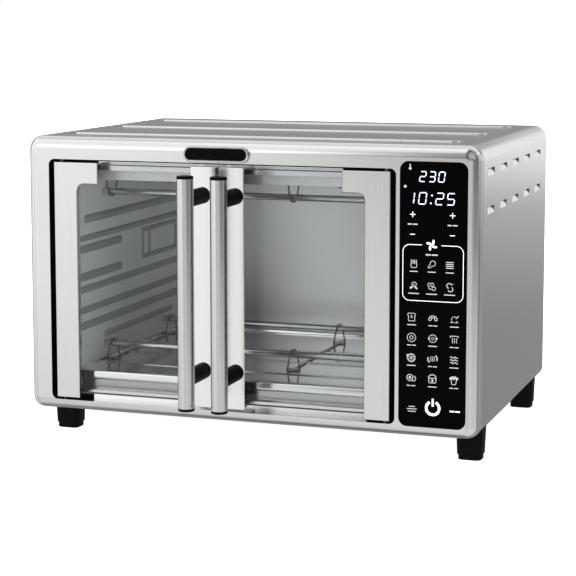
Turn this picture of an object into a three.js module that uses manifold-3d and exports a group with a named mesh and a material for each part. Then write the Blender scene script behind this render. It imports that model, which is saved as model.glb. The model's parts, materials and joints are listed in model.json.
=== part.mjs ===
// A counter-top toaster oven with French doors: steel housing, glass doors with bar handles,
// touch control panel, heated cavity with a convection fan. Millimetres, +Z up, front towards -Y.
// The origin lies on the counter, under the middle of the whole object's box.
import * as THREE from "three";
import { mergeVertices } from "three/addons/utils/BufferGeometryUtils.js";
import Module from "manifold-3d";

const wasm = await Module();
wasm.setup();

// ---------------------------------------------------------------- driving dimensions
// Body
const bodyWidth = 460;
const bodyDepth = 322;
const bodyHeight = 275;
const footHeight = 25;
const sheet = 1.2;
const topCorner = 14;
const bottomCorner = 12.5;
const jointGap = 0.3;

// Front frame
const frameDepth = 14;
const frameNose = 12;
const openingInset = 25;
const panelOpeningGap = 3.9;
const sillHeight = 11.3;
const headHeight = 22.5;
const openingCorner = 6;
const openingChamfer = 0.8;
const lipDepth = 15;

// Doors
const doorSideGap = 5.5;
const doorTopGap = 3;
const doorBottomGap = 2.2;
const doorSeam = 3;
const outerStileWidth = 24.7;
const innerStileWidth = 26;
const stileDepth = 12.5;
const stileSheet = 1.5;
const stileLip = 8;
const stileEdge = 0.6;
const armWidth = 47;
const armHeight = 21;
const armFillet = 7;
const glassThickness = 4;
const glassSeat = 13.5;
const hingeInset = 5.6;
const hingeBack = 8;
const pinDiameter = 4;
const pinHeadDiameter = 5.4;
const pinHeadHeight = 2;
const pinReach = 2.5;
const drumDiameter = 9;
const drumHeight = 3.6;
const drumGroove = 0.9;
const cableDiameter = 1;

// Handles
const handleDiameter = 16;
const handleWall = 1;
const handleStandOff = 45;
const handleTopInset = 5.5;
const handleBottomInset = 6.5;
const leftHandleFromSeam = 14.45;
const rightHandleFromSeam = 19.05;
const capThickness = 2.5;
const capPlug = 6;
const standoffDiameter = 16;
const upperStandoffDrop = 28;
const lowerStandoffRise = 37;

// Control panel
const panelWidth = 64;
const panelSideMargin = 11.6;
const panelTopMargin = 15.4;
const panelBottomMargin = 10.8;
const panelCorner = 8;
const panelThickness = 3;
const panelProud = 0.8;
const carrierMargin = 1;
const carrierDepth = 12;
const carrierWall = 4;
const boardThickness = 1.6;
const displayWidth = 42;
const displayHeight = 36;
const displayDrop = 6;

// Badge over the doors, left plain
const badgeWidth = 66.6;
const badgeHeight = 15.8;
const badgeRim = 2;
const badgeThickness = 3.5;
const badgeRise = 0.8;

// Feet
const footWidth = 27;
const footDepth = 24;
const footTaper = 2.5;
const footPadHeight = 5;
const footPadInset = 1;
const footCorner = 6;
const footPadCorner = 5;
const leftFootInset = 13;
const rightFootInset = 1;
const frontFootSetback = 27;
const rearFootSetback = 30;

// Housing pressings
const ribHeight = 2.2;
const ribWidth = 16;
const ribEndInset = 30;
const ribCount = 3;
const frontRibSetback = 52;
const ribPitch = 114;
const louvreLength = 28;
const louvreHeight = 8;
const louvrePress = 3;
const louvrePitch = 56.5;
const louvreCount = 5;
const firstLouvre = 46;
const upperLouvreDrop = 27;
const louvreRowGap = 36;
const wrapLip = 8;

// Cavity
const cavitySideMargin = 21.75;
const cavityFront = 24;
const cavityDepth = 261;
const cavityFloorRise = 37.7;
const cavityHeight = 199.3;
const liner = 1;
const ringOverlap = 4;
const ringSillRise = 8.7;
const ringHeadDrop = 11.5;
const ringCorner = 2;
const ceilingApron = 10;
const trayFrontHeight = 12.5;
const trayDropBelowFloor = 16.7;
const trayRim = 3.2;
const trayFrontSetback = 4;

// Heating rods
const rodDiameter = 6.5;
const rodHole = 0.4;
const rodReach = 16;
const frontRodSetback = 58;
const rodSpacing = 156;
const lowerRodRise = 17.6;
const upperRodDrop = 23.5;
const wireDiameter = 1.8;
const hangerStrip = 3;
const hangerSpread = 5;
const leftHangerInset = 9;
const sensorSetback = 190;
const sensorDrop = 8;
const sensorReach = 38;
const sensorTail = 12;
const rightHangerInset = 206;

// Convection fan
const fanDiameter = 100;
const fanSetback = 141;
const fanRise = 92.3;
const fanCupDiameter = 132;
const fanCupDepth = 24;
const fanCupFlange = 6;
const vaneCount = 8;
const vaneHeight = 13;
const shaftDiameter = 6;
const shaftClearance = 0.4;
const motorStack = 20;
const motorWidth = 48;
const motorHeight = 56;
const motorPost = 14;
const coolingFanDiameter = 62;
const coolingVaneHeight = 8;
const ventCount = 12;
const ventWidth = 5;
const ventInner = 14;
const ventOuter = 43;

// Rear
const backInset = 2;
const backFlange = 12;
const glandReach = 6;
const glandDiameter = 18;
const glandInset = 42;
const glandRise = 30;
const sideVentCount = 9;
const sideVentPitch = 12;
const sideVentLength = 60;
const topVentCount = 8;
const topVentPitch = 34;
const topVentLength = 24;
const topVentDrop = 30;
const panSlotCount = 6;
const panSlotPitch = 30;
const panSlotLength = 60;
const panSlotWidth = 6;
const backVentHeight = 4;

// ---------------------------------------------------------------- derived places
const left = -bodyWidth / 2;
const right = bodyWidth / 2;
const base = footHeight;
const top = base + bodyHeight;
const handleReach = handleStandOff + handleDiameter / 2;
const overallDepth = handleReach + bodyDepth + glandReach;

const openLeft = left + openingInset;
const openingWidth = bodyWidth - openingInset - panelSideMargin - panelWidth - panelOpeningGap;
const openRight = openLeft + openingWidth;
const openBottom = base + sillHeight;
const openTop = top - headHeight;
const seamX = (openLeft + openRight) / 2;

const doorWidth = (openingWidth - 2 * doorSideGap - doorSeam) / 2;
const doorBottom = openBottom + doorBottomGap;
const doorTop = openTop - doorTopGap;

const panelRight = right - panelSideMargin;
const panelLeft = panelRight - panelWidth;
const panelBottom = base + panelBottomMargin;
const panelTop = top - panelTopMargin;

const cavityWidth = openingWidth - 2 * cavitySideMargin;
const cavityLeft = seamX - cavityWidth / 2;
const cavityRight = seamX + cavityWidth / 2;
const cavityBack = cavityFront + cavityDepth;
const cavityFloor = base + cavityFloorRise;
const cavityCeiling = cavityFloor + cavityHeight;
const ringBottom = openBottom + ringSillRise;
const ringTop = openTop - ringHeadDrop;
const ringFront = lipDepth + jointGap;

const rodRadius = rodDiameter / 2;
const rodSetbacks = [cavityFront + frontRodSetback, cavityFront + frontRodSetback + rodSpacing];
const lowerRodZ = cavityFloor + lowerRodRise;
const upperRodZ = cavityCeiling - upperRodDrop;

const fanY = cavityFront + fanSetback;
const fanZ = cavityFloor + fanRise;
const fanCupX = cavityRight + liner;
const fanCupBack = fanCupX + fanCupDepth;
const motorFront = fanCupBack + motorPost;
const motorBack = motorFront + motorStack;
const shaftStart = fanCupX + 4;
const shaftEnd = motorBack + 16;

const backPlate = bodyDepth - backInset - sheet;

// ---------------------------------------------------------------- solids and meshes
function solid(geometry) {
  const bare = new THREE.BufferGeometry();
  bare.setAttribute("position", geometry.getAttribute("position"));
  if (geometry.index) bare.setIndex(geometry.index);
  const merged = mergeVertices(bare, 1e-4);
  const data = {
    numProp: 3,
    vertProperties: new Float32Array(merged.getAttribute("position").array),
    triVerts: new Uint32Array(merged.index.array),
  };
  return new wasm.Manifold(new wasm.Mesh(data));
}

function geometryOf(manifold) {
  const data = manifold.getMesh();
  const geometry = new THREE.BufferGeometry();
  geometry.setAttribute("position", new THREE.BufferAttribute(data.vertProperties, 3));
  geometry.setIndex(new THREE.BufferAttribute(data.triVerts, 1));
  geometry.computeVertexNormals();
  return geometry;
}

const join = (first, ...rest) => rest.reduce((sum, item) => sum.add(item), first);
const cut = (first, ...rest) => rest.reduce((sum, item) => sum.subtract(item), first);

function box(x0, x1, y0, y1, z0, z1) {
  const geometry = new THREE.BoxGeometry(Math.abs(x1 - x0), Math.abs(y1 - y0), Math.abs(z1 - z0));
  geometry.translate((x0 + x1) / 2, (y0 + y1) / 2, (z0 + z1) / 2);
  return solid(geometry);
}

// A shape drawn in x and z, carried back from y0 to y1.
function alongY(shape, y0, y1, curveSegments = 3) {
  const geometry = new THREE.ExtrudeGeometry(shape, { depth: y1 - y0, bevelEnabled: false, curveSegments });
  geometry.rotateX(Math.PI / 2);
  geometry.translate(0, y1, 0);
  return solid(geometry);
}

// A shape drawn in x and z whose front and back edges are rounded or chamfered by edge.
function alongYEdged(shape, y0, y1, edge, bevelSegments = 1, curveSegments = 3) {
  const settings = {
    depth: y1 - y0 - 2 * edge,
    bevelThickness: edge,
    bevelSize: edge,
    bevelOffset: -edge,
    bevelSegments,
    curveSegments,
  };
  const geometry = new THREE.ExtrudeGeometry(shape, settings);
  geometry.rotateX(Math.PI / 2);
  geometry.translate(0, y1 - edge, 0);
  return solid(geometry);
}

// A shape drawn in x and y, carried up from z0 to z1.
function alongZ(shape, z0, z1, curveSegments = 3) {
  const geometry = new THREE.ExtrudeGeometry(shape, { depth: z1 - z0, bevelEnabled: false, curveSegments });
  geometry.translate(0, 0, z0);
  return solid(geometry);
}

function roundedRect(x0, z0, x1, z1, low, high = low) {
  const shape = new THREE.Shape();
  shape.moveTo(x0 + low, z0);
  shape.lineTo(x1 - low, z0);
  shape.absarc(x1 - low, z0 + low, low, -Math.PI / 2, 0);
  shape.lineTo(x1, z1 - high);
  shape.absarc(x1 - high, z1 - high, high, 0, Math.PI / 2);
  shape.lineTo(x0 + high, z1);
  shape.absarc(x0 + high, z1 - high, high, Math.PI / 2, Math.PI);
  shape.lineTo(x0, z0 + low);
  shape.absarc(x0 + low, z0 + low, low, Math.PI, 1.5 * Math.PI);
  return shape;
}

function polygon(points) {
  const shape = new THREE.Shape();
  points.forEach(([a, b], i) => (i ? shape.lineTo(a, b) : shape.moveTo(a, b)));
  return shape;
}

// A body turned on its axis from [radius, height] points, which run up the outside.
function turned(points, segments = 20) {
  const profile = points.map(([radius, height]) => new THREE.Vector2(radius, height));
  return new THREE.LatheGeometry(profile, segments);
}

function turnedZ(points, x, y, segments) {
  const geometry = turned(points, segments);
  geometry.rotateX(Math.PI / 2);
  geometry.translate(x, y, 0);
  return solid(geometry);
}

function turnedX(points, y, z, segments) {
  const geometry = turned(points, segments);
  geometry.rotateZ(-Math.PI / 2);
  geometry.translate(0, y, z);
  return solid(geometry);
}

function turnedY(points, x, z, segments) {
  const geometry = turned(points, segments);
  geometry.translate(x, 0, z);
  return solid(geometry);
}

const rod = (radius, from, to) => [[0, from], [radius, from], [radius, to], [0, to]];

function wire(points, diameter, steps) {
  const section = new THREE.Shape();
  section.absarc(0, 0, diameter / 2, 0, 2 * Math.PI);
  const path = new THREE.CatmullRomCurve3(points.map((p) => new THREE.Vector3(...p)), false, "centripetal");
  const settings = { steps, extrudePath: path, bevelEnabled: false, curveSegments: 3 };
  return solid(new THREE.ExtrudeGeometry(section, settings));
}

// A pressed bar with round ends: full size from 0 to height, then both faces slope in by slope.
function pressing(x0, z0, x1, z1, height, slope) {
  const radius = Math.min(x1 - x0, z1 - z0) / 2;
  const settings = {
    depth: height,
    bevelThickness: height,
    bevelSize: slope,
    bevelOffset: -slope,
    bevelSegments: 1,
    curveSegments: 1,
  };
  return new THREE.ExtrudeGeometry(roundedRect(x0, z0, x1, z1, radius), settings);
}

// ---------------------------------------------------------------- materials
const finish = (color, roughness, metalness) => new THREE.MeshStandardMaterial({ color, roughness, metalness });
const materials = {
  steel: finish(0xc9c9c6, 0.32, 1),
  dullSteel: finish(0x8f9192, 0.5, 1),
  liner: finish(0x9ea3a6, 0.42, 1),
  blackPlastic: finish(0x101214, 0.55, 0),
  blackGlass: finish(0x050506, 0.08, 0),
  glass: new THREE.MeshStandardMaterial({ color: 0xcfd8dc, roughness: 0.03, transparent: true, opacity: 0.25 }),
  chrome: finish(0xe3e3e3, 0.12, 1),
  heater: finish(0x6d7072, 0.45, 1),
  board: finish(0x1f5a3a, 0.6, 0),
  ceramic: finish(0xe8e4da, 0.7, 0),
};

const oven = new THREE.Group();
oven.position.y = handleReach - overallDepth / 2;

function add(name, manifold, material) {
  const mesh = new THREE.Mesh(geometryOf(manifold), material);
  mesh.name = name;
  oven.add(mesh);
}

// ---------------------------------------------------------------- front frame
// A drawn steel frame: flat face, rounded edge all round, folded lips round the door opening.
function bodyOutline(inset) {
  return roundedRect(
    left + inset,
    base + inset,
    right - inset,
    top - inset,
    bottomCorner - inset,
    topCorner - inset,
  );
}

function nosedBlock(inset, depth) {
  const nose = frameNose - inset;
  const settings = {
    depth,
    bevelThickness: nose,
    bevelSize: nose,
    bevelOffset: -nose,
    bevelSegments: 4,
    curveSegments: 4,
  };
  const geometry = new THREE.ExtrudeGeometry(bodyOutline(inset), settings);
  geometry.rotateX(Math.PI / 2);
  geometry.translate(0, inset + nose + depth, 0);
  return solid(geometry);
}

const hingeX = (side) => (side < 0 ? openLeft + doorSideGap + hingeInset : openRight - doorSideGap - hingeInset);

function frontFrame() {
  const outer = nosedBlock(0, frameDepth);
  const inner = nosedBlock(sheet, frameDepth);
  const behind = box(left - 1, right + 1, frameDepth, bodyDepth, 0, top + 1);
  const shell = cut(outer, inner, behind);
  const lips = alongY(
    roundedRect(openLeft - sheet, openBottom - sheet, openRight + sheet, openTop + sheet, openingCorner + sheet),
    sheet / 2,
    lipDepth,
  );
  const hole = alongY(roundedRect(openLeft, openBottom, openRight, openTop, openingCorner), -1, lipDepth + 1);
  const flare = alongYEdged(
    roundedRect(
      openLeft - openingChamfer,
      openBottom - openingChamfer,
      openRight + openingChamfer,
      openTop + openingChamfer,
      openingCorner + openingChamfer,
    ),
    -openingChamfer,
    openingChamfer,
    openingChamfer - 0.01,
  );
  const panelHole = alongY(
    roundedRect(
      panelLeft - jointGap,
      panelBottom - jointGap,
      panelRight + jointGap,
      panelTop + jointGap,
      panelCorner + jointGap,
    ),
    -1,
    frameDepth,
  );
  const panelCut = panelHole.subtract(box(left, openRight + sheet, -2, bodyDepth, 0, top));
  let frame = cut(join(shell, lips), hole, flare, panelCut);
  for (const side of [-1, 1]) {
    const bore = turnedZ(rod(pinDiameter / 2 + jointGap, openBottom - 3, openTop + 3), hingeX(side), hingeBack);
    frame = frame.subtract(bore);
  }
  return frame;
}
add("front_frame", frontFrame(), materials.steel);

// ---------------------------------------------------------------- housing
// One wrapped sheet makes the sides and the top, with beads on top and louvres in both sides.
function ribSolids(drop) {
  const bars = [];
  for (let i = 0; i < ribCount; i += 1) {
    const y = frontRibSetback + i * ribPitch;
    const bar = pressing(left + ribEndInset, y - ribWidth / 2, right - ribEndInset, y + ribWidth / 2, ribHeight, ribWidth / 4);
    bar.translate(0, 0, top - ribHeight - drop);
    bars.push(solid(bar));
  }
  return bars;
}

function louvreSections(side) {
  const x = (depth) => side * (right - depth);
  const place = (points) => points.map(([depth, z]) => [x(depth), z]);
  const scoop = (z) => [[sheet / 2, z - 1], [louvrePress + sheet, z + louvreHeight], [sheet / 2, z + louvreHeight]];
  const dish = (z) => [
    [-1, z - louvreHeight / louvrePress],
    [louvrePress, z + louvreHeight],
    [louvrePress, z + louvreHeight + 0.5],
    [sheet, z + louvreHeight + 0.5],
    [sheet, z + louvreHeight],
    [-1, z + louvreHeight],
  ];
  return { scoop: (z) => place(scoop(z)), dish: (z) => place(dish(z)) };
}

function withLouvres(body) {
  let result = body;
  for (const side of [-1, 1]) {
    const sections = louvreSections(side);
    for (const row of [0, 1]) {
      const z = top - upperLouvreDrop - row * louvreRowGap - louvreHeight / 2;
      for (let i = 0; i < louvreCount; i += 1) {
        const y = firstLouvre + i * louvrePitch;
        const half = louvreLength / 2;
        const scoop = alongY(polygon(sections.scoop(z)), y - half - sheet, y + half + sheet);
        const dish = alongY(polygon(sections.dish(z)), y - half, y + half);
        result = result.add(scoop).subtract(dish);
      }
    }
  }
  return result;
}

function housing() {
  const front = frameDepth + jointGap;
  const outer = alongY(bodyOutline(0), front, bodyDepth, 4);
  const inner = alongY(bodyOutline(sheet), front - 1, bodyDepth + 1, 4);
  const slotHalf = bodyWidth / 2 - bottomCorner - wrapLip;
  const slot = box(-slotHalf, slotHalf, front - 1, bodyDepth + 1, base - 1, base + sheet + 1);
  const wrap = join(outer, ...ribSolids(0));
  return withLouvres(cut(wrap, inner, slot, ...ribSolids(sheet)));
}
add("housing_wrap", housing(), materials.steel);

const panBottom = base + sheet + jointGap;
const panTop = panBottom + sheet;

function bottomPan() {
  const reach = bodyWidth / 2 - bottomCorner;
  let pan = box(-reach, reach, ringFront + sheet + jointGap, backPlate - backFlange - jointGap, panBottom, panTop);
  for (const x of [seamX - cavityWidth / 4, seamX + cavityWidth / 4]) {
    for (let i = 0; i < panSlotCount; i += 1) {
      const y = fanY + (i - (panSlotCount - 1) / 2) * panSlotPitch;
      const [halfLong, halfWide] = [panSlotLength / 2, panSlotWidth / 2];
      pan = pan.subtract(box(x - halfLong, x + halfLong, y - halfWide, y + halfWide, base, panTop + 1));
    }
  }
  return pan;
}
add("bottom_pan", bottomPan(), materials.dullSteel);

const glandX = right - glandInset;
const glandZ = base + glandRise;

function backSlit(x, z, length) {
  const half = backVentHeight / 2;
  return box(x - length / 2, x + length / 2, backPlate - 1, bodyDepth, z - half, z + half);
}

function backPanel() {
  const inset = sheet + jointGap;
  const plate = alongY(bodyOutline(inset), backPlate - backFlange, backPlate + sheet, 4);
  const hollow = alongY(bodyOutline(inset + sheet), backPlate - backFlange - 1, backPlate, 4);
  let panel = plate.subtract(hollow);
  const ventX = (cavityRight + right) / 2;
  for (let i = 0; i < sideVentCount; i += 1) {
    const z = fanZ + (i - (sideVentCount - 1) / 2) * sideVentPitch;
    panel = panel.subtract(backSlit(ventX, z, sideVentLength));
  }
  for (let i = 0; i < topVentCount; i += 1) {
    const x = seamX + (i - (topVentCount - 1) / 2) * topVentPitch;
    panel = panel.subtract(backSlit(x, top - topVentDrop, topVentLength));
  }
  const glandHole = turnedY(rod(glandDiameter / 2 - 3 + jointGap, backPlate - 1, bodyDepth), glandX, glandZ, 16);
  return panel.subtract(glandHole);
}
add("back_panel", backPanel(), materials.dullSteel);

function cordGland() {
  const face = backPlate + sheet + jointGap;
  const profile = [
    [glandDiameter / 2 - 5.5, backPlate - 6],
    [glandDiameter / 2 - 3, backPlate - 6],
    [glandDiameter / 2 - 3, face],
    [glandDiameter / 2, face],
    [glandDiameter / 2, face + 2],
    [glandDiameter / 2 - 3, bodyDepth + glandReach],
    [glandDiameter / 2 - 5.5, bodyDepth + glandReach],
    [glandDiameter / 2 - 5.5, backPlate - 6],
  ];
  return turnedY(profile, glandX, glandZ, 16);
}
add("cord_gland", cordGland(), materials.blackPlastic);

// ---------------------------------------------------------------- feet
// Draws a block in towards its bottom, by footTaper across its width at the pad.
function taper(geometry, x, y, low, high) {
  const place = geometry.getAttribute("position");
  for (let i = 0; i < place.count; i += 1) {
    const scale = 1 - (footTaper / footWidth) * ((high - place.getZ(i)) / (high - low));
    place.setX(i, x + (place.getX(i) - x) * scale);
    place.setY(i, y + (place.getY(i) - y) * scale);
  }
  return geometry;
}

function foot(x0, y0) {
  const high = base + bottomCorner + sheet;
  const outline = roundedRect(x0, y0, x0 + footWidth, y0 + footDepth, footCorner);
  const settings = { depth: high - footPadHeight, bevelEnabled: false, curveSegments: 2 };
  const block = new THREE.ExtrudeGeometry(outline, settings);
  block.translate(0, 0, footPadHeight);
  taper(block, x0 + footWidth / 2, y0 + footDepth / 2, footPadHeight, high);
  const inset = footTaper / 2 + footPadInset;
  const pad = alongZ(
    roundedRect(x0 + inset, y0 + inset, x0 + footWidth - inset, y0 + footDepth - inset, footPadCorner),
    0,
    footPadHeight + 1,
    2,
  );
  const clear = alongY(bodyOutline(-jointGap), 0, bodyDepth, 4);
  return cut(solid(block), clear).add(pad);
}

const footPlaces = {
  foot_front_left: [left + leftFootInset, frontFootSetback],
  foot_front_right: [right - rightFootInset - footWidth, frontFootSetback],
  foot_rear_left: [left + leftFootInset, bodyDepth - rearFootSetback - footDepth],
  foot_rear_right: [right - rightFootInset - footWidth, bodyDepth - rearFootSetback - footDepth],
};
for (const [name, [x, y]] of Object.entries(footPlaces)) add(name, foot(x, y), materials.blackPlastic);

// ---------------------------------------------------------------- badge and control panel
function pill(inset) {
  const z0 = openTop + badgeRise + inset;
  const x0 = seamX - badgeWidth / 2 + inset;
  const height = badgeHeight - 2 * inset;
  return roundedRect(x0, z0, x0 + badgeWidth - 2 * inset, z0 + height, height / 2);
}
const badgeRimBlock = alongYEdged(pill(0), -badgeThickness, 0, 0.8, 1, 5);
const badgeRimHole = alongY(pill(badgeRim), -badgeThickness - 1, 1, 5);
add("badge_rim", badgeRimBlock.subtract(badgeRimHole), materials.chrome);
const badgePlate = alongYEdged(pill(badgeRim + jointGap), 0.4 - badgeThickness, 0, 0.4, 1, 5);
add("badge_plate", badgePlate, materials.blackPlastic);

const panelShape = (grow) =>
  roundedRect(panelLeft - grow, panelBottom - grow, panelRight + grow, panelTop + grow, panelCorner + grow);
const panelBack = panelThickness - panelProud;
const carrierFront = sheet + 2 * jointGap;
add("control_glass", alongYEdged(panelShape(0), -panelProud, panelBack, 0.4), materials.blackGlass);

function panelCarrier() {
  const ring = alongY(panelShape(carrierMargin), carrierFront, carrierDepth);
  const seat = alongY(panelShape(jointGap), 0, panelBack + jointGap);
  const hollow = alongY(panelShape(-carrierWall), 0, carrierDepth + 1);
  return cut(ring, seat, hollow);
}
add("panel_carrier", panelCarrier(), materials.blackPlastic);

const boardFront = carrierDepth + jointGap;

// Parts on the control board: from the panel's left and bottom edges, then size.
const boardSocket = { side: 14, rise: 18, width: 24, height: 10, depth: 8 };
const boardChip = { side: 20, rise: 110, width: 16, height: 16, depth: 3 };

function boardPart({ side, rise, width, height, depth }) {
  const x = panelLeft + side;
  const y = boardFront + boardThickness / 2;
  const z = panelBottom + rise;
  return box(x, x + width, y, y + depth, z, z + height);
}

function controlBoard() {
  const board = alongY(panelShape(-1), boardFront, boardFront + boardThickness);
  return join(board, boardPart(boardSocket), boardPart(boardChip));
}
add("control_board", controlBoard(), materials.board);

const displayCentre = (panelLeft + panelRight) / 2;
const displayTop = panelTop - displayDrop;
const display = box(
  displayCentre - displayWidth / 2,
  displayCentre + displayWidth / 2,
  panelBack + jointGap,
  carrierDepth,
  displayTop - displayHeight,
  displayTop,
);
add("display_module", display, materials.blackPlastic);

const powerBoardSideGap = 14;
const powerBoardWallGap = 18;
const powerBoardRearGap = 26;
const powerBoardDepth = 70;
const powerBoardRise = 6;
const powerLegWidth = 6;
const relay = { width: 18, depth: 16, height: 16, pitch: 21 };
const transformer = { width: 28, depth: 26, height: 23 };

function powerBoard() {
  const x0 = cavityRight + powerBoardSideGap;
  const x1 = right - powerBoardWallGap;
  const y1 = bodyDepth - powerBoardRearGap;
  const y0 = y1 - powerBoardDepth;
  const z = panTop + powerBoardRise;
  const legs = [];
  for (const x of [x0 + 2, x1 - 2 - powerLegWidth]) {
    for (const y of [y0 + 2, y1 - 2 - powerLegWidth]) {
      legs.push(box(x, x + powerLegWidth, y, y + powerLegWidth, panTop, z + 1));
    }
  }
  const relays = [];
  for (let i = 0; i < 3; i += 1) {
    const y = y0 + 6 + i * relay.pitch;
    relays.push(box(x0 + 6, x0 + 6 + relay.width, y, y + relay.depth, z + 1, z + 1 + relay.height));
  }
  const capacitor = turnedZ(rod(7, z + 1, z + 22), x1 - 16, y0 + 16, 16);
  const coilX = x1 - 6 - transformer.width;
  const coilY = y1 - 8 - transformer.depth;
  const coil = box(
    coilX,
    coilX + transformer.width,
    coilY,
    coilY + transformer.depth,
    z + 1,
    z + 1 + transformer.height,
  );
  return join(box(x0, x1, y0, y1, z, z + 2), ...legs, ...relays, capacitor, coil);
}
add("power_board", powerBoard(), materials.board);

// ---------------------------------------------------------------- cavity
function cavityRing() {
  const plate = alongY(
    roundedRect(
      openLeft - ringOverlap,
      openBottom - ringOverlap,
      openRight + ringOverlap,
      openTop + ringOverlap,
      openingCorner,
    ),
    ringFront,
    ringFront + sheet,
  );
  const collar = alongY(
    roundedRect(cavityLeft - sheet, ringBottom - sheet, cavityRight + sheet, ringTop + sheet, ringCorner + sheet),
    ringFront,
    cavityFront,
  );
  const hole = alongY(roundedRect(cavityLeft, ringBottom, cavityRight, ringTop, ringCorner), 0, cavityFront + 1);
  return join(plate, collar).subtract(hole);
}
add("cavity_ring", cavityRing(), materials.liner);

// Bars pressed into a side wall: rise above the floor, height, start and end behind the wall's front.
const wallBars = [
  [151.3, 8, 13, 253],
  [132.3, 6, 3, 253],
  [121.3, 8, 3, 97],
  [93.3, 8, 3, 97],
  [80.3, 7, 3, 253],
  [59.3, 7, 3, 253],
  [43.3, 8, 3, 253],
  [27, 6, 57, 233],
];
const wallBarPress = 3;
const lampFrame = { rise: 85.8, start: 152, length: 66, height: 42, rail: 5 };

function wallBar(side, [rise, height, start, end], outward) {
  const y0 = cavityFront + start;
  const z0 = cavityFloor + rise - height / 2;
  const bar = pressing(y0, z0, cavityFront + end, z0 + height, wallBarPress, height / 4);
  const turn = new THREE.Matrix4().makeBasis(
    new THREE.Vector3(0, 1, 0),
    new THREE.Vector3(0, 0, 1),
    new THREE.Vector3(1, 0, 0),
  );
  bar.applyMatrix4(turn);
  const face = side < 0 ? cavityLeft - wallBarPress : cavityRight;
  bar.translate(face + side * outward, 0, 0);
  return solid(bar);
}

const clearOfFan = ([rise, height]) => Math.abs(cavityFloor + rise - fanZ) > ventOuter + height / 2 + 2;

function sideWall(side) {
  const inner = side < 0 ? cavityLeft : cavityRight;
  const outer = inner + side * liner;
  const plate = box(inner, outer, cavityFront, cavityBack, cavityFloor, cavityCeiling);
  const kept = side < 0 ? wallBars : wallBars.filter(clearOfFan);
  const bars = kept.map((bar) => wallBar(side, bar, 0));
  const grooves = kept.map((bar) => wallBar(side, bar, liner));
  const room = box(outer, inner - side * 40, cavityFront, cavityBack, cavityFloor, cavityCeiling);
  let wall = cut(join(plate, ...bars).intersect(room), ...grooves);
  if (side < 0) wall = wall.add(lampSurround(inner, side));
  for (const y of rodSetbacks) {
    for (const z of [lowerRodZ, upperRodZ]) {
      wall = wall.subtract(turnedX(rod(rodRadius + rodHole, inner - 20, inner + 20), y, z, 12));
    }
  }
  return wall;
}

// A raised border round the blanked lamp opening in the left wall.
function lampSurround(inner, side) {
  const { rise, start, length, height, rail } = lampFrame;
  const y0 = cavityFront + start;
  const z0 = cavityFloor + rise;
  const border = box(inner + side * 0.5, inner - side * 2, y0, y0 + length, z0, z0 + height);
  const middle = box(inner, inner - side * 3, y0 + rail, y0 + length - rail, z0 + rail, z0 + height - rail);
  return border.subtract(middle);
}

// Radial slots in the right wall, in front of the fan.
function fanVents() {
  const slots = [];
  for (let i = 0; i < ventCount; i += 1) {
    const slot = new THREE.BoxGeometry(4 * wallBarPress, ventOuter - ventInner, ventWidth);
    slot.translate(cavityRight, (ventOuter + ventInner) / 2, 0);
    slot.rotateX((2 * Math.PI * i) / ventCount);
    slot.translate(0, fanY, fanZ);
    slots.push(solid(slot));
  }
  return slots;
}
add("cavity_left_wall", sideWall(-1), materials.liner);

const sensorY = cavityFront + sensorSetback;
const sensorZ = upperRodZ - sensorDrop;
const sensorHole = turnedX(rod(2 + jointGap, cavityRight - 6, cavityRight + 6), sensorY, sensorZ, 12);
add("cavity_right_wall", cut(sideWall(1), sensorHole, ...fanVents()), materials.liner);
const cavityOuterLeft = cavityLeft - liner;
const cavityOuterRight = cavityRight + liner;
const backWall = box(
  cavityOuterLeft,
  cavityOuterRight,
  cavityBack,
  cavityBack + liner,
  cavityFloor - liner,
  cavityCeiling + liner,
);
add("cavity_back_wall", backWall, materials.liner);

const ceilingPlate = box(
  cavityOuterLeft,
  cavityOuterRight,
  cavityFront,
  cavityBack,
  cavityCeiling,
  cavityCeiling + liner,
);
const apron = box(
  cavityLeft,
  cavityRight,
  cavityFront,
  cavityFront + liner,
  ringTop - ceilingApron,
  cavityCeiling + 0.5,
);
const apronTop = box(cavityOuterLeft, cavityOuterRight, cavityFront, cavityFront + liner, cavityCeiling, ringTop + sheet);
add("cavity_ceiling", join(ceilingPlate, apron, apronTop), materials.liner);
const floorPlate = box(
  cavityOuterLeft,
  cavityOuterRight,
  cavityFront,
  cavityBack,
  cavityFloor - liner,
  cavityFloor,
);
add("cavity_floor", floorPlate, materials.liner);

function crumbTray() {
  const x0 = cavityLeft + 1;
  const x1 = cavityRight - 1;
  const panY = cavityFront - trayFrontSetback;
  const z0 = cavityFloor + jointGap;
  const floor = box(x0, x1, panY, cavityBack - 5, z0, z0 + liner);
  const sides = [
    box(x0, x0 + liner, panY, cavityBack - 5, z0, z0 + trayRim),
    box(x1 - liner, x1, panY, cavityBack - 5, z0, z0 + trayRim),
    box(x0, x1, cavityBack - 5 - liner, cavityBack - 5, z0, z0 + trayRim),
  ];
  const frontLow = cavityFloor - trayDropBelowFloor;
  const front = box(x0, x1, panY, panY + liner, frontLow, z0 + liner);
  const rolledLip = box(x0, x1, panY - 2, panY + liner, frontLow + trayFrontHeight - liner, frontLow + trayFrontHeight);
  return join(floor, ...sides, front, rolledLip);
}
add("crumb_tray", crumbTray(), materials.liner);

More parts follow.
